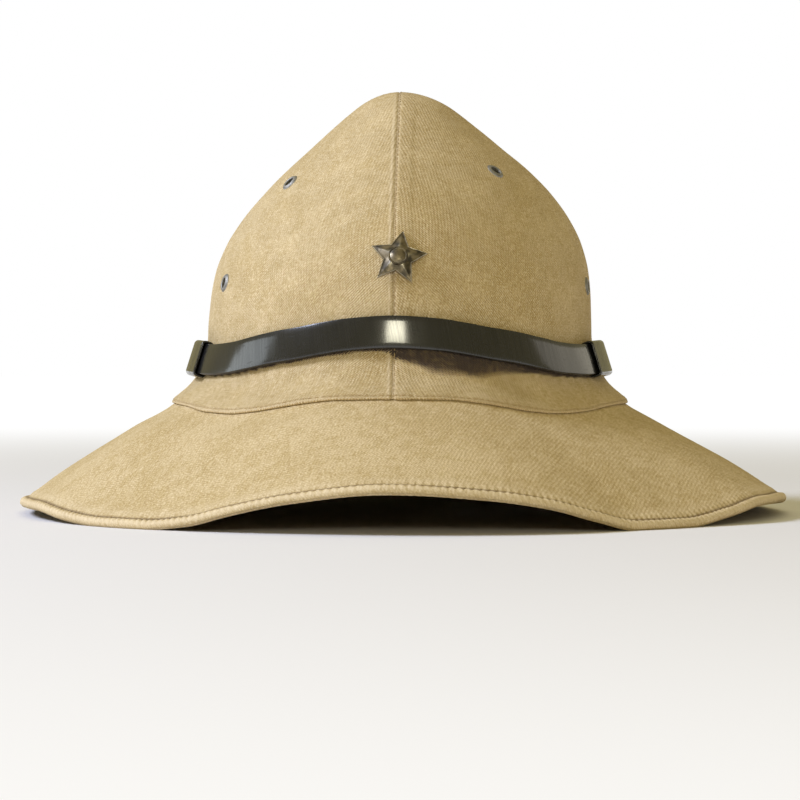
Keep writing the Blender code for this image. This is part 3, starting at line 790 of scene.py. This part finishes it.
def crown_gore(shape, name, start, side):
    """One gore, and the paths of the stitches beside its seam and along its foot."""
    size = shape.size
    grid = gore_grid(shape, start)
    normal = normals_of(grid)
    seam, other, foot = distances(grid, 0), distances(grid, -1), lengths_along(grid)
    x, y, z = np.moveaxis(grid, -1, 0)
    wide = step(np.hypot(x, y), 0.003, 0.05)

    lift = -SEAM_DEPTH * (hump(seam, 0, 0.0006) + hump(other, 0, 0.0006))
    lift += wide * ALLOWANCE_LIFT * (step(seam, 0.0007, 0.0022)
                                     - step(seam, ALLOWANCE_WIDTH - 0.002, ALLOWANCE_WIDTH))
    lift += wide * 0.5 * ALLOWANCE_LIFT * (step(other, 0.0005, 0.0015) - step(other, 0.003, 0.006))
    lift -= wide * STITCH_DENT * hump(seam, size.seam_inset, 0.0005)
    lift -= STITCH_DENT * hump(foot, size.stitch_inset, 0.0005)
    lift -= HEM_TUCK * (1 - step(foot, 0, 0.0028))
    clear = np.minimum(step(seam, 0.002, 0.02), step(other, 0.002, 0.02))
    soft = unevenness(x + 0.7 * z, y - 0.6 * z, 0.034, 5)
    small = unevenness(x - 0.5 * z, y + 0.8 * z, 0.011, 6)
    lift += (0.00062 * soft + 0.0002 * small) * (0.35 + 0.65 * clear)
    outer = grid + normal * lift[..., None]
    inner = grid - normal * size.cloth

    middle = slice(GORE_COLUMNS // 2, GORE_COLUMNS // 2 + 1)
    across = lengths_along(grid, axis=1)
    grain = stacked(across - across[:, middle], foot[:, middle], side)
    # The first mark is painted shade in the seam grooves, in the dents beside the seam's stitches
    # and along the foot's stitch line
    shade_and_dirt = np.maximum.reduce((
        0.34 * hump(seam, 0, 0.0003), 0.34 * hump(other, 0, 0.0003),
        0.15 * hump(seam, size.seam_inset, 0.0003) * wide,
        0.25 * hump(foot, size.stitch_inset, 0.0004)))
    worn = np.maximum.reduce((
        0.5 * hump(other, 0.0014, 0.0008) * wide, 0.3 * hump(seam, 0.0007, 0.0004) * wide,
        0.35 * hump(foot, 0.0004, 0.0005)))
    marks = stacked(shade_and_dirt, worn, rubbed_dye(size, x, y, z))
    rim, rim_marks = (np.repeat(part[:1], HEM_POINTS, axis=0) for part in (grain, marks))
    turned_in = hem(outer[0], inner[0], unit(grid[0] - grid[1]))
    obj = swept(name, joined(outer[::-1], turned_in, inner), False,
                grain=joined(grain[::-1], rim, grain),
                marks=joined(marks[::-1], rim_marks * 0.6, marks * 0))
    rows = seam.max(axis=1) > 6 * size.seam_inset
    beside = [at_distance(g[rows], seam[rows], size.seam_inset, 1) for g in (outer, normal)]
    low = [at_distance(g, foot, size.stitch_inset) for g in (outer, normal)]
    return obj, [(*beside, False), (*low, False)]


def seat(node):
    """Matrix at the middle of a thin node's back: Z points out of the crown, Y to its top."""
    points = np.array([v.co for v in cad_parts[node].data.vertices])
    middle = points.mean(axis=0)
    axis = np.linalg.svd(points - middle, full_matrices=False)[2][2]
    axis = axis * np.sign(np.dot(axis, middle - HAT_PLACE - (0, 0, 0.08)))
    heights = (points - middle) @ axis
    back = points[heights < heights.min() + 0.0002]
    centre = back.mean(axis=0)
    reach = np.linalg.norm(back - centre, axis=1)
    far = back[reach > 0.95 * reach.max()]
    top = Vector(far[np.argmax(far[:, 2])] - centre).normalized()
    axis = Vector(axis)
    sideways = top.cross(axis).normalized()
    turn = Matrix((sideways, axis.cross(sideways), axis)).transposed().to_4x4()
    return Matrix.Translation(centre) @ turn


def punch(obj, holes):
    """Round holes through a cloth piece, from places and radii. The cut loses what is kept on
    its points, so each takes the grain and marks of the nearest old one."""
    old = obj.data
    tree = KDTree(len(old.vertices))
    for k, vertex in enumerate(old.vertices):
        tree.insert(vertex.co, k)
    tree.balance()
    bm = bmesh.new()
    for place, radius in holes:
        bmesh.ops.create_cone(bm, cap_ends=True, segments=24, radius1=radius, radius2=radius,
                              depth=CUTTER_LENGTH, matrix=place)
    mesh = bpy.data.meshes.new("punch")
    bm.to_mesh(mesh)
    cutter = bpy.data.objects.new("punch", mesh)
    bpy.context.scene.collection.objects.link(cutter)
    modifier = obj.modifiers.new("Punch", 'BOOLEAN')
    modifier.operation, modifier.solver, modifier.object = 'DIFFERENCE', 'EXACT', cutter
    graph = bpy.context.evaluated_depsgraph_get()
    obj.data = bpy.data.meshes.new_from_object(obj.evaluated_get(graph), depsgraph=graph)
    obj.modifiers.clear()
    bpy.data.objects.remove(cutter)
    # The cut leaves points with only two edges on the rims, which can turn into doubled slivers.
    bm.clear()
    bm.from_mesh(obj.data)
    spare = [vertex for vertex in bm.verts if len(vertex.link_edges) == 2]
    bmesh.ops.dissolve_verts(bm, verts=spare)
    bm.to_mesh(obj.data)
    bm.free()
    nearest = [tree.find(vertex.co)[1] for vertex in obj.data.vertices]
    for key in ("grain", "marks"):
        values = np.empty(len(old.vertices) * 3, np.float32)
        old.attributes[key].data.foreach_get("vector", values)
        attribute(obj.data, key, values.reshape(-1, 3)[nearest])


def stitch_mesh(name, size, paths):
    """One mesh of all the stitches along paths of points and normals, with their ends sunk in."""
    middles, normals = [], []
    for points, normal, closed in paths:
        if closed:
            points, normal = (np.concatenate((part, part[:1])) for part in (points, normal))
        run = lengths_along(points)
        count = int(run[-1] / size.stitch_pitch + 0.5 * closed)
        starts = (np.arange(count) + 0.15) * (run[-1] / max(count, 1))
        spots = starts[:, None] + STITCH["along"] * size.stitch_length
        middle, out = (stacked(*(np.interp(spots, run, part[:, k]) for k in range(3)))
                       for part in (points, normal))
        out = unit(out)
        middles.append(middle + out * (STITCH["lift"] * size.thread_radius)[:, None])
        normals.append(out)
    middle, out = np.concatenate(middles), np.concatenate(normals)
    run = unit(np.gradient(middle, axis=1))
    flat = unit(np.cross(run, out))
    out = np.cross(flat, run)
    sides = 6
    turns = TURN * np.arange(sides) / sides
    ring = out[:, :, None] * np.cos(turns)[:, None] + flat[:, :, None] * np.sin(turns)[:, None]
    thick = STITCH["thick"][:, None, None] * size.thread_radius
    points = middle[:, :, None] + ring * thick
    index = numbered(*points.shape[:3])
    faces = [belt(index[:, :-1], index[:, 1:])]
    for end, order in ((index[:, 0], ((3, 2, 1, 0), (5, 4, 3, 0))),
                       (index[:, -1], ((0, 1, 2, 3), (0, 3, 4, 5)))):
        faces += [end[:, corners] for corners in order]
    grain = stacked((STITCH["along"] * size.stitch_length)[:, None], turns, 0.0)
    return mesh_object(name, points, np.concatenate(faces), grain=grain)


def plan_grain(points):
    """Cloth cut flat: its grain runs straight as seen from above."""
    return stacked(points[..., 0], points[..., 1], 1.0)


def brim_sheet(shape):
    """The brim's cloth from under the crown's foot into the groove of the rolled edge."""
    size = shape.size
    azimuth = all_round(BRIM_COLUMNS)
    drop = size.cloth + size.gap
    shares = (*np.linspace(0, 0.93, 24), 0.95, 0.965, 0.978, 0.989, 1.0, 1.01)
    top, bottom = (shape.brim_rows(azimuth, (FLARE_HIGH, FLARE_LOW), shares, under)
                   for under in (drop, drop + size.brim_cloth))
    normal = -normals_of(np.concatenate((top, top[:, :1]), axis=1))[:, :-1]
    foot = lengths_along(top)
    reach = foot[-1:] - foot
    x, y = top[..., 0], top[..., 1]
    soft = unevenness(x, y, 0.031, 11) * step(foot, 0.012, 0.03) * step(reach, 0.004, 0.02)
    small = unevenness(x, y, 0.009, 12) * step(foot, 0.006, 0.02)
    lift = 0.0006 * soft + 0.00012 * small + 0.00035 * hump(reach, 0.0045, 0.0022)
    lift += 0.0002 * hump(foot - foot[2:3], 0.0, 0.0022)
    top = top + normal * lift[..., None]
    # The first mark is painted shade where the sheet runs into the groove under the rolled edge
    marks = stacked(0.95 * (1 - step(reach, 0.0012, 0.0023)), 0.25 * hump(reach, 0.0045, 0.002),
                    0.6 * (1 - step(reach, 0.0008, 0.0075)))
    sections = joined(top, bottom[::-1])
    return swept("brim_sheet", sections, True, grain=plan_grain(sections),
                 marks=joined(marks, marks * 0))


def brim_roll(shape):
    """The thick rolled edge, gathered where its stitches pull it in."""
    centre, along, up = shape.roll_frame(all_round(ROLL_COLUMNS, 180.0))
    x, y = centre[:, :1], centre[:, 1:2]
    turns = TURN * np.arange(ROLL_POINTS) / ROLL_POINTS
    degrees = np.degrees(turns)
    wave = np.sin(GATHER_COUNT * np.arctan2(x, -y) + turns * 1.6)
    inner_side = 0.25 + 0.75 * hump(degrees, 115, 55)
    lift = GATHER_LIFT * (0.65 + 0.6 * unevenness(x, y, 0.006, 21)) * inner_side * wave
    lift += 0.0001 * unevenness(x, y, 0.019, 22)
    radius = (shape.size.edge_radius + lift)[..., None]
    points = centre[:, None] + radius * (along[:, None] * np.cos(turns)[:, None]
                                         + up[:, None] * np.sin(turns)[:, None])
    points[..., 2] = np.maximum(points[..., 2], 0.0)
    # Painted shade in the groove above the roll and under the roll
    shade_and_dirt = 0.9 * hump(degrees, 151, 15) + 0.5 * hump(degrees, 205, 20)
    # The roll's upper outer side and the crests of its gathers are painted lighter: partly wear,
    # partly a painted highlight
    worn = np.clip(0.55 * hump(degrees, 62, 45) + 0.25 * wave * inner_side, 0, 1)
    grain = stacked(lengths_along(centre)[:, None], turns * shape.size.edge_radius, 1.0)
    return swept("brim_roll", points, True, grain=grain, marks=stacked(shade_and_dirt, worn, 0.0))


def groove_path(shape):
    """Where the stitches inside the rolled edge lie, and their normals."""
    centre, along, up = shape.roll_frame(all_round(GROOVE_COLUMNS))
    return centre + up * (GROOVE_HEIGHT - 0.0001) - along * (GROOVE_INSET + 0.0001), up


def facing(shape, name, centre):
    """Half of the browner layer under the brim, with a seam and its allowance at each end."""
    size = shape.size
    azimuth = centre + np.linspace(-90, 90, FACING_COLUMNS)
    drop = size.cloth + size.gap + size.brim_cloth + size.gap
    _, middle, along, up = shape.brim_frame(azimuth)
    last = middle - along * (size.edge_radius + 0.0008)
    last = last + up * (GROOVE_HEIGHT - size.brim_cloth - size.gap)
    shares = (*np.linspace(0, 0.9, 26), 0.93, 0.95)
    top = np.concatenate((shape.brim_rows(azimuth, (FLARE_LOW,), shares, drop),
                          shape.out_at(azimuth, *last.T)[None]))
    top[:, 0, 1] = top[:, -1, 1] = math.copysign(SEAM_GAP, -math.cos(math.radians(centre)))
    seam = np.minimum(distances(top, 0), distances(top, -1))
    edge = lengths_along(top[::-1])[::-1]
    x, y = top[..., 0], top[..., 1]
    soft = unevenness(x, y, 0.028, 31) * step(edge, 0.004, 0.02)
    crease = unevenness(x * 2.2, y * 0.7, 0.012, 32) * step(edge, 0.01, 0.03)
    lift = (size.facing_cloth * (0.45 + 0.55 * step(edge, 0.0, 0.004)) + 0.00035 * soft
            + 0.00012 * crease)
    lift += ALLOWANCE_LIFT * (step(seam, 0.0008, 0.0022) - step(seam, 0.009, 0.011))
    lift -= SEAM_DEPTH * hump(seam, 0, 0.0006)
    bottom = top + normals_of(top) * lift[..., None]
    dirt = step(unevenness(x, y, 0.0032, 41), 0.15, 0.5) * hump(seam, 0.002, 0.007)
    # Painted shade in the seam and along the edge under the roll, with real dark dirt spots
    shade_and_dirt = np.maximum.reduce((0.55 * hump(seam, 0, 0.0005), 0.5 * hump(edge, 0, 0.0012),
                                0.5 * dirt * hump(edge, 0.038, 0.02) * (x < 0)))
    ridge = 0.8 * hump(seam, 0.002, 0.0011) + 0.2 * hump(seam, 0.01, 0.002)
    marks = stacked(shade_and_dirt, ridge, 0.7 * (1 - step(edge, 0.001, 0.007)))
    sections = joined(top, bottom[::-1])
    return swept(name, sections, False, grain=plan_grain(sections),
                 marks=joined(marks * 0, marks[::-1]))


def band(shape):
    """The band inside the crown, its edges rounded, and the path of its lower stitches."""
    size = shape.size
    azimuth = all_round(BAND_COLUMNS, 180.0)
    shares = np.linspace(BAND["rise"][0], BAND["rise"][-1], 26)
    out = size.flare_width * curve(shares, BAND["rise"], BAND["out"])
    rise = size.flare_rise * shares
    ahead = unit(np.gradient(stacked(out, rise), axis=0))
    grid = shape.out_at(azimuth, out[:, None], shape.flange(azimuth) + rise[:, None])
    offset = shape.tilted(azimuth, -ahead[:, 1:], ahead[:, :1])
    low = lengths_along(grid)
    lift = size.band_cloth - 0.0002 * hump(low, BAND_STITCHES, 0.0006)
    lift += 0.00012 * unevenness(grid[..., 0] + grid[..., 2], grid[..., 1], 0.012, 41)
    inner = grid + offset * lift[..., None]
    sections = joined(grid, hem(grid[-1], inner[-1], unit(grid[-1] - grid[-2])), inner[::-1],
                      hem(inner[0], grid[0], unit(grid[0] - grid[1])))
    height = np.concatenate((low[:, 0], np.full(HEM_POINTS, low[-1, 0]), low[::-1, 0],
                             np.zeros(HEM_POINTS)))
    # The mark paints shade along the lower stitch line
    obj = swept("inner_band", sections, True,
                grain=stacked(lengths_along(grid[len(shares) // 2])[:, None], height, 1.0),
                marks=stacked(0.5 * hump(height, BAND_STITCHES, 0.0004), 0.0, 0.0))
    return obj, [at_distance(g, low, BAND_STITCHES) for g in (inner, offset)]


def strip_outline(width, thickness, corner):
    """Closed outline of a leather strip, as (along its width, through its thickness) points."""
    rounds = []
    for cx, cy, first in ((width - corner, corner, -90), (width - corner, thickness - corner, 0),
                          (corner, thickness - corner, 90), (corner, corner, 180)):
        for turn in (0, 30, 60, 90):
            a = math.radians(first + turn)
            rounds.append((cx + corner * math.cos(a), cy + corner * math.sin(a)))
    steps = (width - 2 * corner) * np.linspace(0, 1, 7)[1:-1]
    bottom, top = ([(corner + s, 0.0) for s in steps],
                   [(width - corner - s, thickness) for s in steps])
    return np.array(bottom + rounds[:8] + top + rounds[8:])


def strap_layer(shape, name, azimuth, start, closed):
    """One layer of the chin strap at a distance off the inner one's back."""
    width, thickness = shape.size.strap_width, shape.size.strap_thickness
    v, w = strip_outline(width, thickness, 0.00028).T
    bottom, up, out = shape.strap_frame(azimuth)
    x, y = bottom[:, :1], bottom[:, 1:2]
    belly = 0.00014 * np.sin(np.pi * v / width) * (w > thickness / 2)
    sway = np.abs(0.00012 * unevenness(x, y, 0.021, 51))
    edge = 0.00006 * unevenness(x, y, 0.011, 52) * (2 * v / width - 1)
    points = (bottom[:, None] + up[:, None] * (v + edge)[..., None]
              + out[:, None] * (start + w + belly)[:, None] + out[:, None] * sway[..., None])
    worn = 0.7 * step(np.abs(v / width - 0.5) * 2, 0.955, 1.0)
    return swept(name, points, closed, grain=stacked(lengths_along(bottom)[:, None], v, 0.0),
                 marks=stacked(0.0, worn, 0.0), sharp=60.0)


def keeper(shape, name, azimuth, half_angle):
    """Flat loop of leather round both layers of the strap, a little open toward the front."""
    size = shape.size
    room, corner = 0.00032, 0.0009
    depth = 2 * size.strap_thickness + size.gap + 2 * room
    path = strip_outline(size.strap_width + 2 * room, depth, corner) - room
    ahead = unit(np.roll(path, -1, axis=0) - np.roll(path, 1, axis=0))
    outward = stacked(ahead[:, 1], -ahead[:, 0])
    strip = strip_outline(2 * half_angle, 1.0, 0.2)[:, 0]
    squash = strip_outline(1.0, size.keeper_thickness, 0.00022)[:, 1]
    bottom, up, out = shape.strap_frame(azimuth + (strip - half_angle))
    spot = path[:, None, :] + outward[:, None, :] * squash[:, None]
    front = step(-np.sign(azimuth) * (strip / half_angle - 1), 0.55, 1.0)
    back = step(path[:, 1], size.strap_thickness, depth - 2 * room)[:, None]
    spot[..., 1] += 0.0007 * front * back
    points = bottom + up * spot[..., :1] + out * spot[..., 1:]
    grain = stacked(np.radians(strip) * size.crown_half_depth, lengths_along(path)[:, None], 0.0)
    worn = 0.3 * step(np.abs(strip / half_angle - 1), 0.95, 1.0)
    return swept(name, points, True, grain=grain, marks=stacked(0.0, worn, 0.0), sharp=60.0)


def turned(profile, count=48):
    """Points and faces of a closed profile of radii and heights, turned round Z."""
    radius, height = np.array(profile).T
    turns = TURN * np.arange(count)[:, None] / count
    points = stacked(radius * np.cos(turns), radius * np.sin(turns), height)
    index = numbered(*points.shape[:2])
    return points.reshape(-1, 3), belt(index, np.roll(index, -1, axis=0))


def fitted(node, points, faces, sharp):
    """The piece that stands for a metal node, moved to where that sits."""
    place = seat(node)
    points = points @ np.array(place.to_3x3()).T + np.array(place.translation) - HAT_PLACE
    return mesh_object(node + "_metal", points, faces, sharp=sharp)


def eyelet(node, bore, radius, barrel):
    profile = [
        (bore, 0.0006), (bore, 0.0033), (bore + 0.0001, 0.0036), (bore + 0.0004, 0.0038),
        (bore + 0.0009, 0.00375), (radius - 0.0005, 0.0034), (radius - 0.0001, 0.0030),
        (radius, 0.0027), (radius - 0.0001, 0.00245), (barrel, 0.00245), (barrel, 0.0010),
        (radius - 0.0002, 0.0009), (radius, 0.0006), (radius - 0.0002, 0.0002),
        (bore + 0.0003, 0.0), (bore, 0.0002),
    ]
    return fitted(node, *turned(profile), 60.0)


def star(node, radius, boss):
    """Five-pointed star, pressed hollow, with a raised rim, ridged arms and a plain round boss."""
    corners = np.array([(reach * math.cos(turn), reach * math.sin(turn)) for reach, turn in (
        (radius * (1.0, STAR_NOTCH)[k % 2], math.radians(90 + 36 * k - STAR_TURN))
        for k in (*range(10), 0))])
    outline = stacked(*(np.interp(np.arange(60) / 6, np.arange(11), corners[:, k]) for k in (0, 1)))
    rings = [
        (0.30, 0.0), (0.985, 0.0), (1.0, 0.00015), (1.0, 0.00070), (0.985, 0.00095),
        (0.965, 0.00105), (0.940, 0.00100), (0.920, 0.00082), (0.880, 0.00080), (0.750, 0.00098),
        (0.600, 0.00125), (0.450, 0.00152), (0.30, 0.00172),
    ]
    share, height = np.array(rings).T
    points = stacked(outline[:, :1] * share, outline[:, 1:] * share, height)
    index = numbered(*points.shape[:2])
    boss_points, boss_faces = turned([
        (0.0001, 0.0009), (0.0001, 0.00255), (boss * 0.3, 0.0025), (boss * 0.55, 0.00235),
        (boss * 0.72, 0.00205), (boss * 0.78, 0.00195), (boss * 0.84, 0.00205),
        (boss * 0.93, 0.00205), (boss * 0.99, 0.0018), (boss, 0.0015), (boss, 0.0009),
    ])
    faces = np.concatenate((belt(index, np.roll(index, -1, axis=0)), boss_faces + index.size))
    points = np.concatenate((points.reshape(-1, 3), boss_points))
    points[:, 2] += STAR_DOME * (1 - (np.hypot(points[:, 0], points[:, 1]) / radius) ** 2)
    return fitted(node, points, faces, 32.0)


class MakeCrown(bpy.types.Operator):
    """Makes the crown's four gores, their seams and their stitches"""

    bl_idname = "bush_hat.crown"
    bl_label = "Crown"

    def execute(self, context):
        shape = HatShape(context.scene.hat_sizes)
        fittings = [(seat(name), shape.size.eyelet_barrel) for name in EYELETS]
        fittings.append((seat("star_badge"), shape.size.post_room))
        paths = []
        for name, start, side in GORES:
            obj, seams = crown_gore(shape, name + "_cloth", start, side)
            low, high = (Vector(obj.bound_box[k]) for k in (0, 6))
            holes = [(place, radius) for place, radius in fittings
                     if low.x < place.translation.x < high.x
                     and low.y - 0.002 < place.translation.y < high.y]
            if holes:
                punch(obj, holes)
            dress(obj, "tan_twill", "khaki_cloth", name)
            paths += seams
        dress(stitch_mesh("crown_stitches", shape.size, paths), "sewing_thread", "khaki_cloth")
        return {'FINISHED'}


class MakeBrim(bpy.types.Operator):
    """Makes the brim's cloth, its gathered rolled edge and the stitches inside that edge"""

    bl_idname = "bush_hat.brim"
    bl_label = "Brim"

    def execute(self, context):
        shape = HatShape(context.scene.hat_sizes)
        for obj in (brim_sheet(shape), brim_roll(shape)):
            dress(obj, "brim_twill", "khaki_cloth", "brim")
        stitches = stitch_mesh("brim_stitches", shape.size, [(*groove_path(shape), True)])
        dress(stitches, "sewing_thread", "khaki_cloth")
        return {'FINISHED'}


class MakeFacings(bpy.types.Operator):
    """Makes the two halves of the browner cloth under the brim"""

    bl_idname = "bush_hat.facings"
    bl_label = "Facings"

    def execute(self, context):
        shape = HatShape(context.scene.hat_sizes)
        for node, centre in (("brim_facing_front", 0.0), ("brim_facing_back", 180.0)):
            obj = facing(shape, node + "_cloth", centre)
            dress(obj, "under_cloth", "underbrim_cloth", node)
        return {'FINISHED'}


class MakeBand(bpy.types.Operator):
    """Makes the band inside the crown, with its lower row of stitches"""

    bl_idname = "bush_hat.band"
    bl_label = "Sweatband"

    def execute(self, context):
        shape = HatShape(context.scene.hat_sizes)
        obj, path = band(shape)
        dress(obj, "olive_webbing", "olive_band_cloth", "sweatband")
        stitches = stitch_mesh("band_stitches", shape.size, [(*path, True)])
        dress(stitches, "sewing_thread", "olive_band_cloth")
        return {'FINISHED'}


class MakeStrap(bpy.types.Operator):
    """Makes both layers of the leather chin strap"""

    bl_idname = "bush_hat.strap"
    bl_label = "Chin strap"

    def execute(self, context):
        shape = HatShape(context.scene.hat_sizes)
        front = np.linspace(-FRONT_LAYER_END, FRONT_LAYER_END, FRONT_LAYER_COLUMNS)
        room = shape.size.strap_thickness + shape.size.gap
        for node, azimuth, start, closed in (("chin_strap", all_round(STRAP_COLUMNS), 0.0, True),
                                             ("chin_strap_front", front, room, False)):
            obj = strap_layer(shape, node + "_leather", azimuth, start, closed)
            dress(obj, "polished_leather", "black_leather", node)
        return {'FINISHED'}


class MakeKeepers(bpy.types.Operator):
    """Makes the two leather loops that hold the strap's layers together"""

    bl_idname = "bush_hat.keepers"
    bl_label = "Keepers"

    def execute(self, context):
        shape = HatShape(context.scene.hat_sizes)
        for node, side in (("strap_keeper_left", -1), ("strap_keeper_right", 1)):
            obj = keeper(shape, node + "_leather", side * KEEPER_AZIMUTH, KEEPER_HALF_ANGLE)
            dress(obj, "polished_leather", "black_leather", node)
        return {'FINISHED'}


class MakeEyelets(bpy.types.Operator):
    """Makes the four metal eyelets in the front gores"""

    bl_idname = "bush_hat.eyelets"
    bl_label = "Eyelets"

    def execute(self, context):
        size = context.scene.hat_sizes
        for node in EYELETS:
            obj = eyelet(node, size.eyelet_bore, size.eyelet_radius, size.eyelet_barrel)
            dress(obj, "dull_oxide", "oxidised_metal", node)
        return {'FINISHED'}


class MakeBadge(bpy.types.Operator):
    """Makes the star badge and finishes the clasp behind it"""

    bl_idname = "bush_hat.badge"
    bl_label = "Badge"

    def execute(self, context):
        size = context.scene.hat_sizes
        obj = star("star_badge", size.badge_radius, size.boss_radius)
        dress(obj, "old_bronze", "bronze_badge", "star_badge")
        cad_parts["badge_clasp"].material_slots[0].material = finish("clasp_steel")
        return {'FINISHED'}


# The lights' names and places, the heights that they aim at, their sizes and tints, and whether
# leather and metal mirror them
LIGHTS = (
    ("key", (-1.88, -0.58, 1.58), 0.08, (0.8, 0.8), (0.73, 0.79, 1.0), True),
    ("front", (0.02, -1.9, 0.5), 0.08, (0.42, 0.25), (1.0, 0.95, 0.74), True),
    ("fill", (1.9, -1.2, 0.9), 0.08, (1.4, 1.4), (1.0, 0.78, 0.38), False),
    ("side", (-2.6, 0.4, 0.35), 0.06, (1.2, 0.7), (0.84, 0.93, 1.0), True),
    ("far_side", (2.4, 1.3, 0.45), 0.06, (2.2, 0.8), (1.0, 0.95, 0.9), True),
    ("top", (0.0, 0.3, 2.2), 0.0, (1.6, 1.6), (1.0, 0.91, 0.6), True),
)


def facing_turn(direction):
    """Turn of a light or camera that looks along a direction."""
    return direction.to_track_quat('-Z', 'Y').to_euler()


def soft_light(name, place, aim, size, tint, mirrored, power):
    data = bpy.data.lights.new(name, 'AREA')
    data.shape = 'RECTANGLE'
    data.size, data.size_y = size
    data.energy = power
    data.color = tint
    light = bpy.data.objects.new(name, data)
    light.location = place
    light.visible_glossy = mirrored
    light.rotation_euler = facing_turn(Vector((0, 0, aim)) - Vector(place))
    bpy.context.scene.collection.objects.link(light)


class MakeStage(bpy.types.Operator):
    """Makes the floor and backdrop, the soft lights and the camera"""

    bl_idname = "bush_hat.stage"
    bl_label = "Stage"

    def execute(self, context):
        scene, stage = context.scene, context.scene.stage_sizes
        bm = bmesh.new()
        bmesh.ops.create_circle(bm, cap_ends=True, segments=128, radius=FLOOR_RADIUS)
        mesh = bpy.data.meshes.new("floor")
        bm.to_mesh(mesh)
        bm.free()
        floor = bpy.data.objects.new("floor", mesh)
        scene.collection.objects.link(floor)
        mesh.materials.append(finish("pale_paper"))

        for light in LIGHTS:
            soft_light(*light, getattr(stage, light[0]))
        world = bpy.data.worlds.new("studio")
        world.use_nodes = True
        nodes = Nodes(world.node_tree)
        seen = nodes.add("ShaderNodeLightPath", {}, {}, "Is Camera Ray")
        nodes.feed(world.node_tree.nodes["Background"], {
            "Color": nodes.mix(seen, (1.0, 0.87, 0.44), (1, 1, 1)),
            "Strength": seen * (1 - stage.sky) + stage.sky,
        })
        scene.world = world

        turn, rise = math.radians(stage.azimuth), math.radians(stage.elevation)
        away = Vector((math.sin(turn) * math.cos(rise), -math.cos(turn) * math.cos(rise),
                       math.sin(rise)))
        data = bpy.data.cameras.new("camera")
        data.lens = stage.lens
        data.sensor_width = 36.0
        camera = bpy.data.objects.new("camera", data)
        camera.location = Vector((*HAT_PLACE[:2], stage.aim_height)) + away * stage.distance
        camera.rotation_euler = facing_turn(-away)
        scene.collection.objects.link(camera)
        scene.camera = camera
        scene.view_settings.view_transform = 'Standard'
        return {'FINISHED'}


MAKERS = (MakeCrown, MakeBrim, MakeFacings, MakeBand, MakeStrap, MakeKeepers, MakeEyelets,
          MakeBadge, MakeStage)
GROUPS = {"hat_sizes": HatSizes, "hat_colours": HatColours, "stage_sizes": StageSizes}


class HatPanel(bpy.types.Panel):
    """Lists the hat's pieces and their sizes and colours"""

    bl_idname = "VIEW3D_PT_bush_hat"
    bl_label = "Bush hat"
    bl_space_type = 'VIEW_3D'
    bl_region_type = 'UI'
    bl_category = "Bush hat"

    def draw(self, context):
        for maker in MAKERS:
            self.layout.operator(maker.bl_idname)
        for key, group in GROUPS.items():
            box = self.layout.box()
            for name in group.__annotations__:
                box.prop(getattr(context.scene, key), name)


def register():
    for cls in (*GROUPS.values(), *MAKERS, HatPanel):
        bpy.utils.register_class(cls)
    for name, group in GROUPS.items():
        setattr(bpy.types.Scene, name, PointerProperty(type=group))


def unregister():
    for name in GROUPS:
        delattr(bpy.types.Scene, name)
    for cls in (HatPanel, *reversed(MAKERS), *reversed(GROUPS.values())):
        bpy.utils.unregister_class(cls)


def main():
    register()
    bpy.ops.bush_hat.crown()
    bpy.ops.bush_hat.brim()
    bpy.ops.bush_hat.facings()
    bpy.ops.bush_hat.band()
    bpy.ops.bush_hat.strap()
    bpy.ops.bush_hat.keepers()
    bpy.ops.bush_hat.eyelets()
    bpy.ops.bush_hat.badge()
    bpy.ops.bush_hat.stage()
    bpy.context.view_layer.update()


if __name__ == "__main__":
    main()
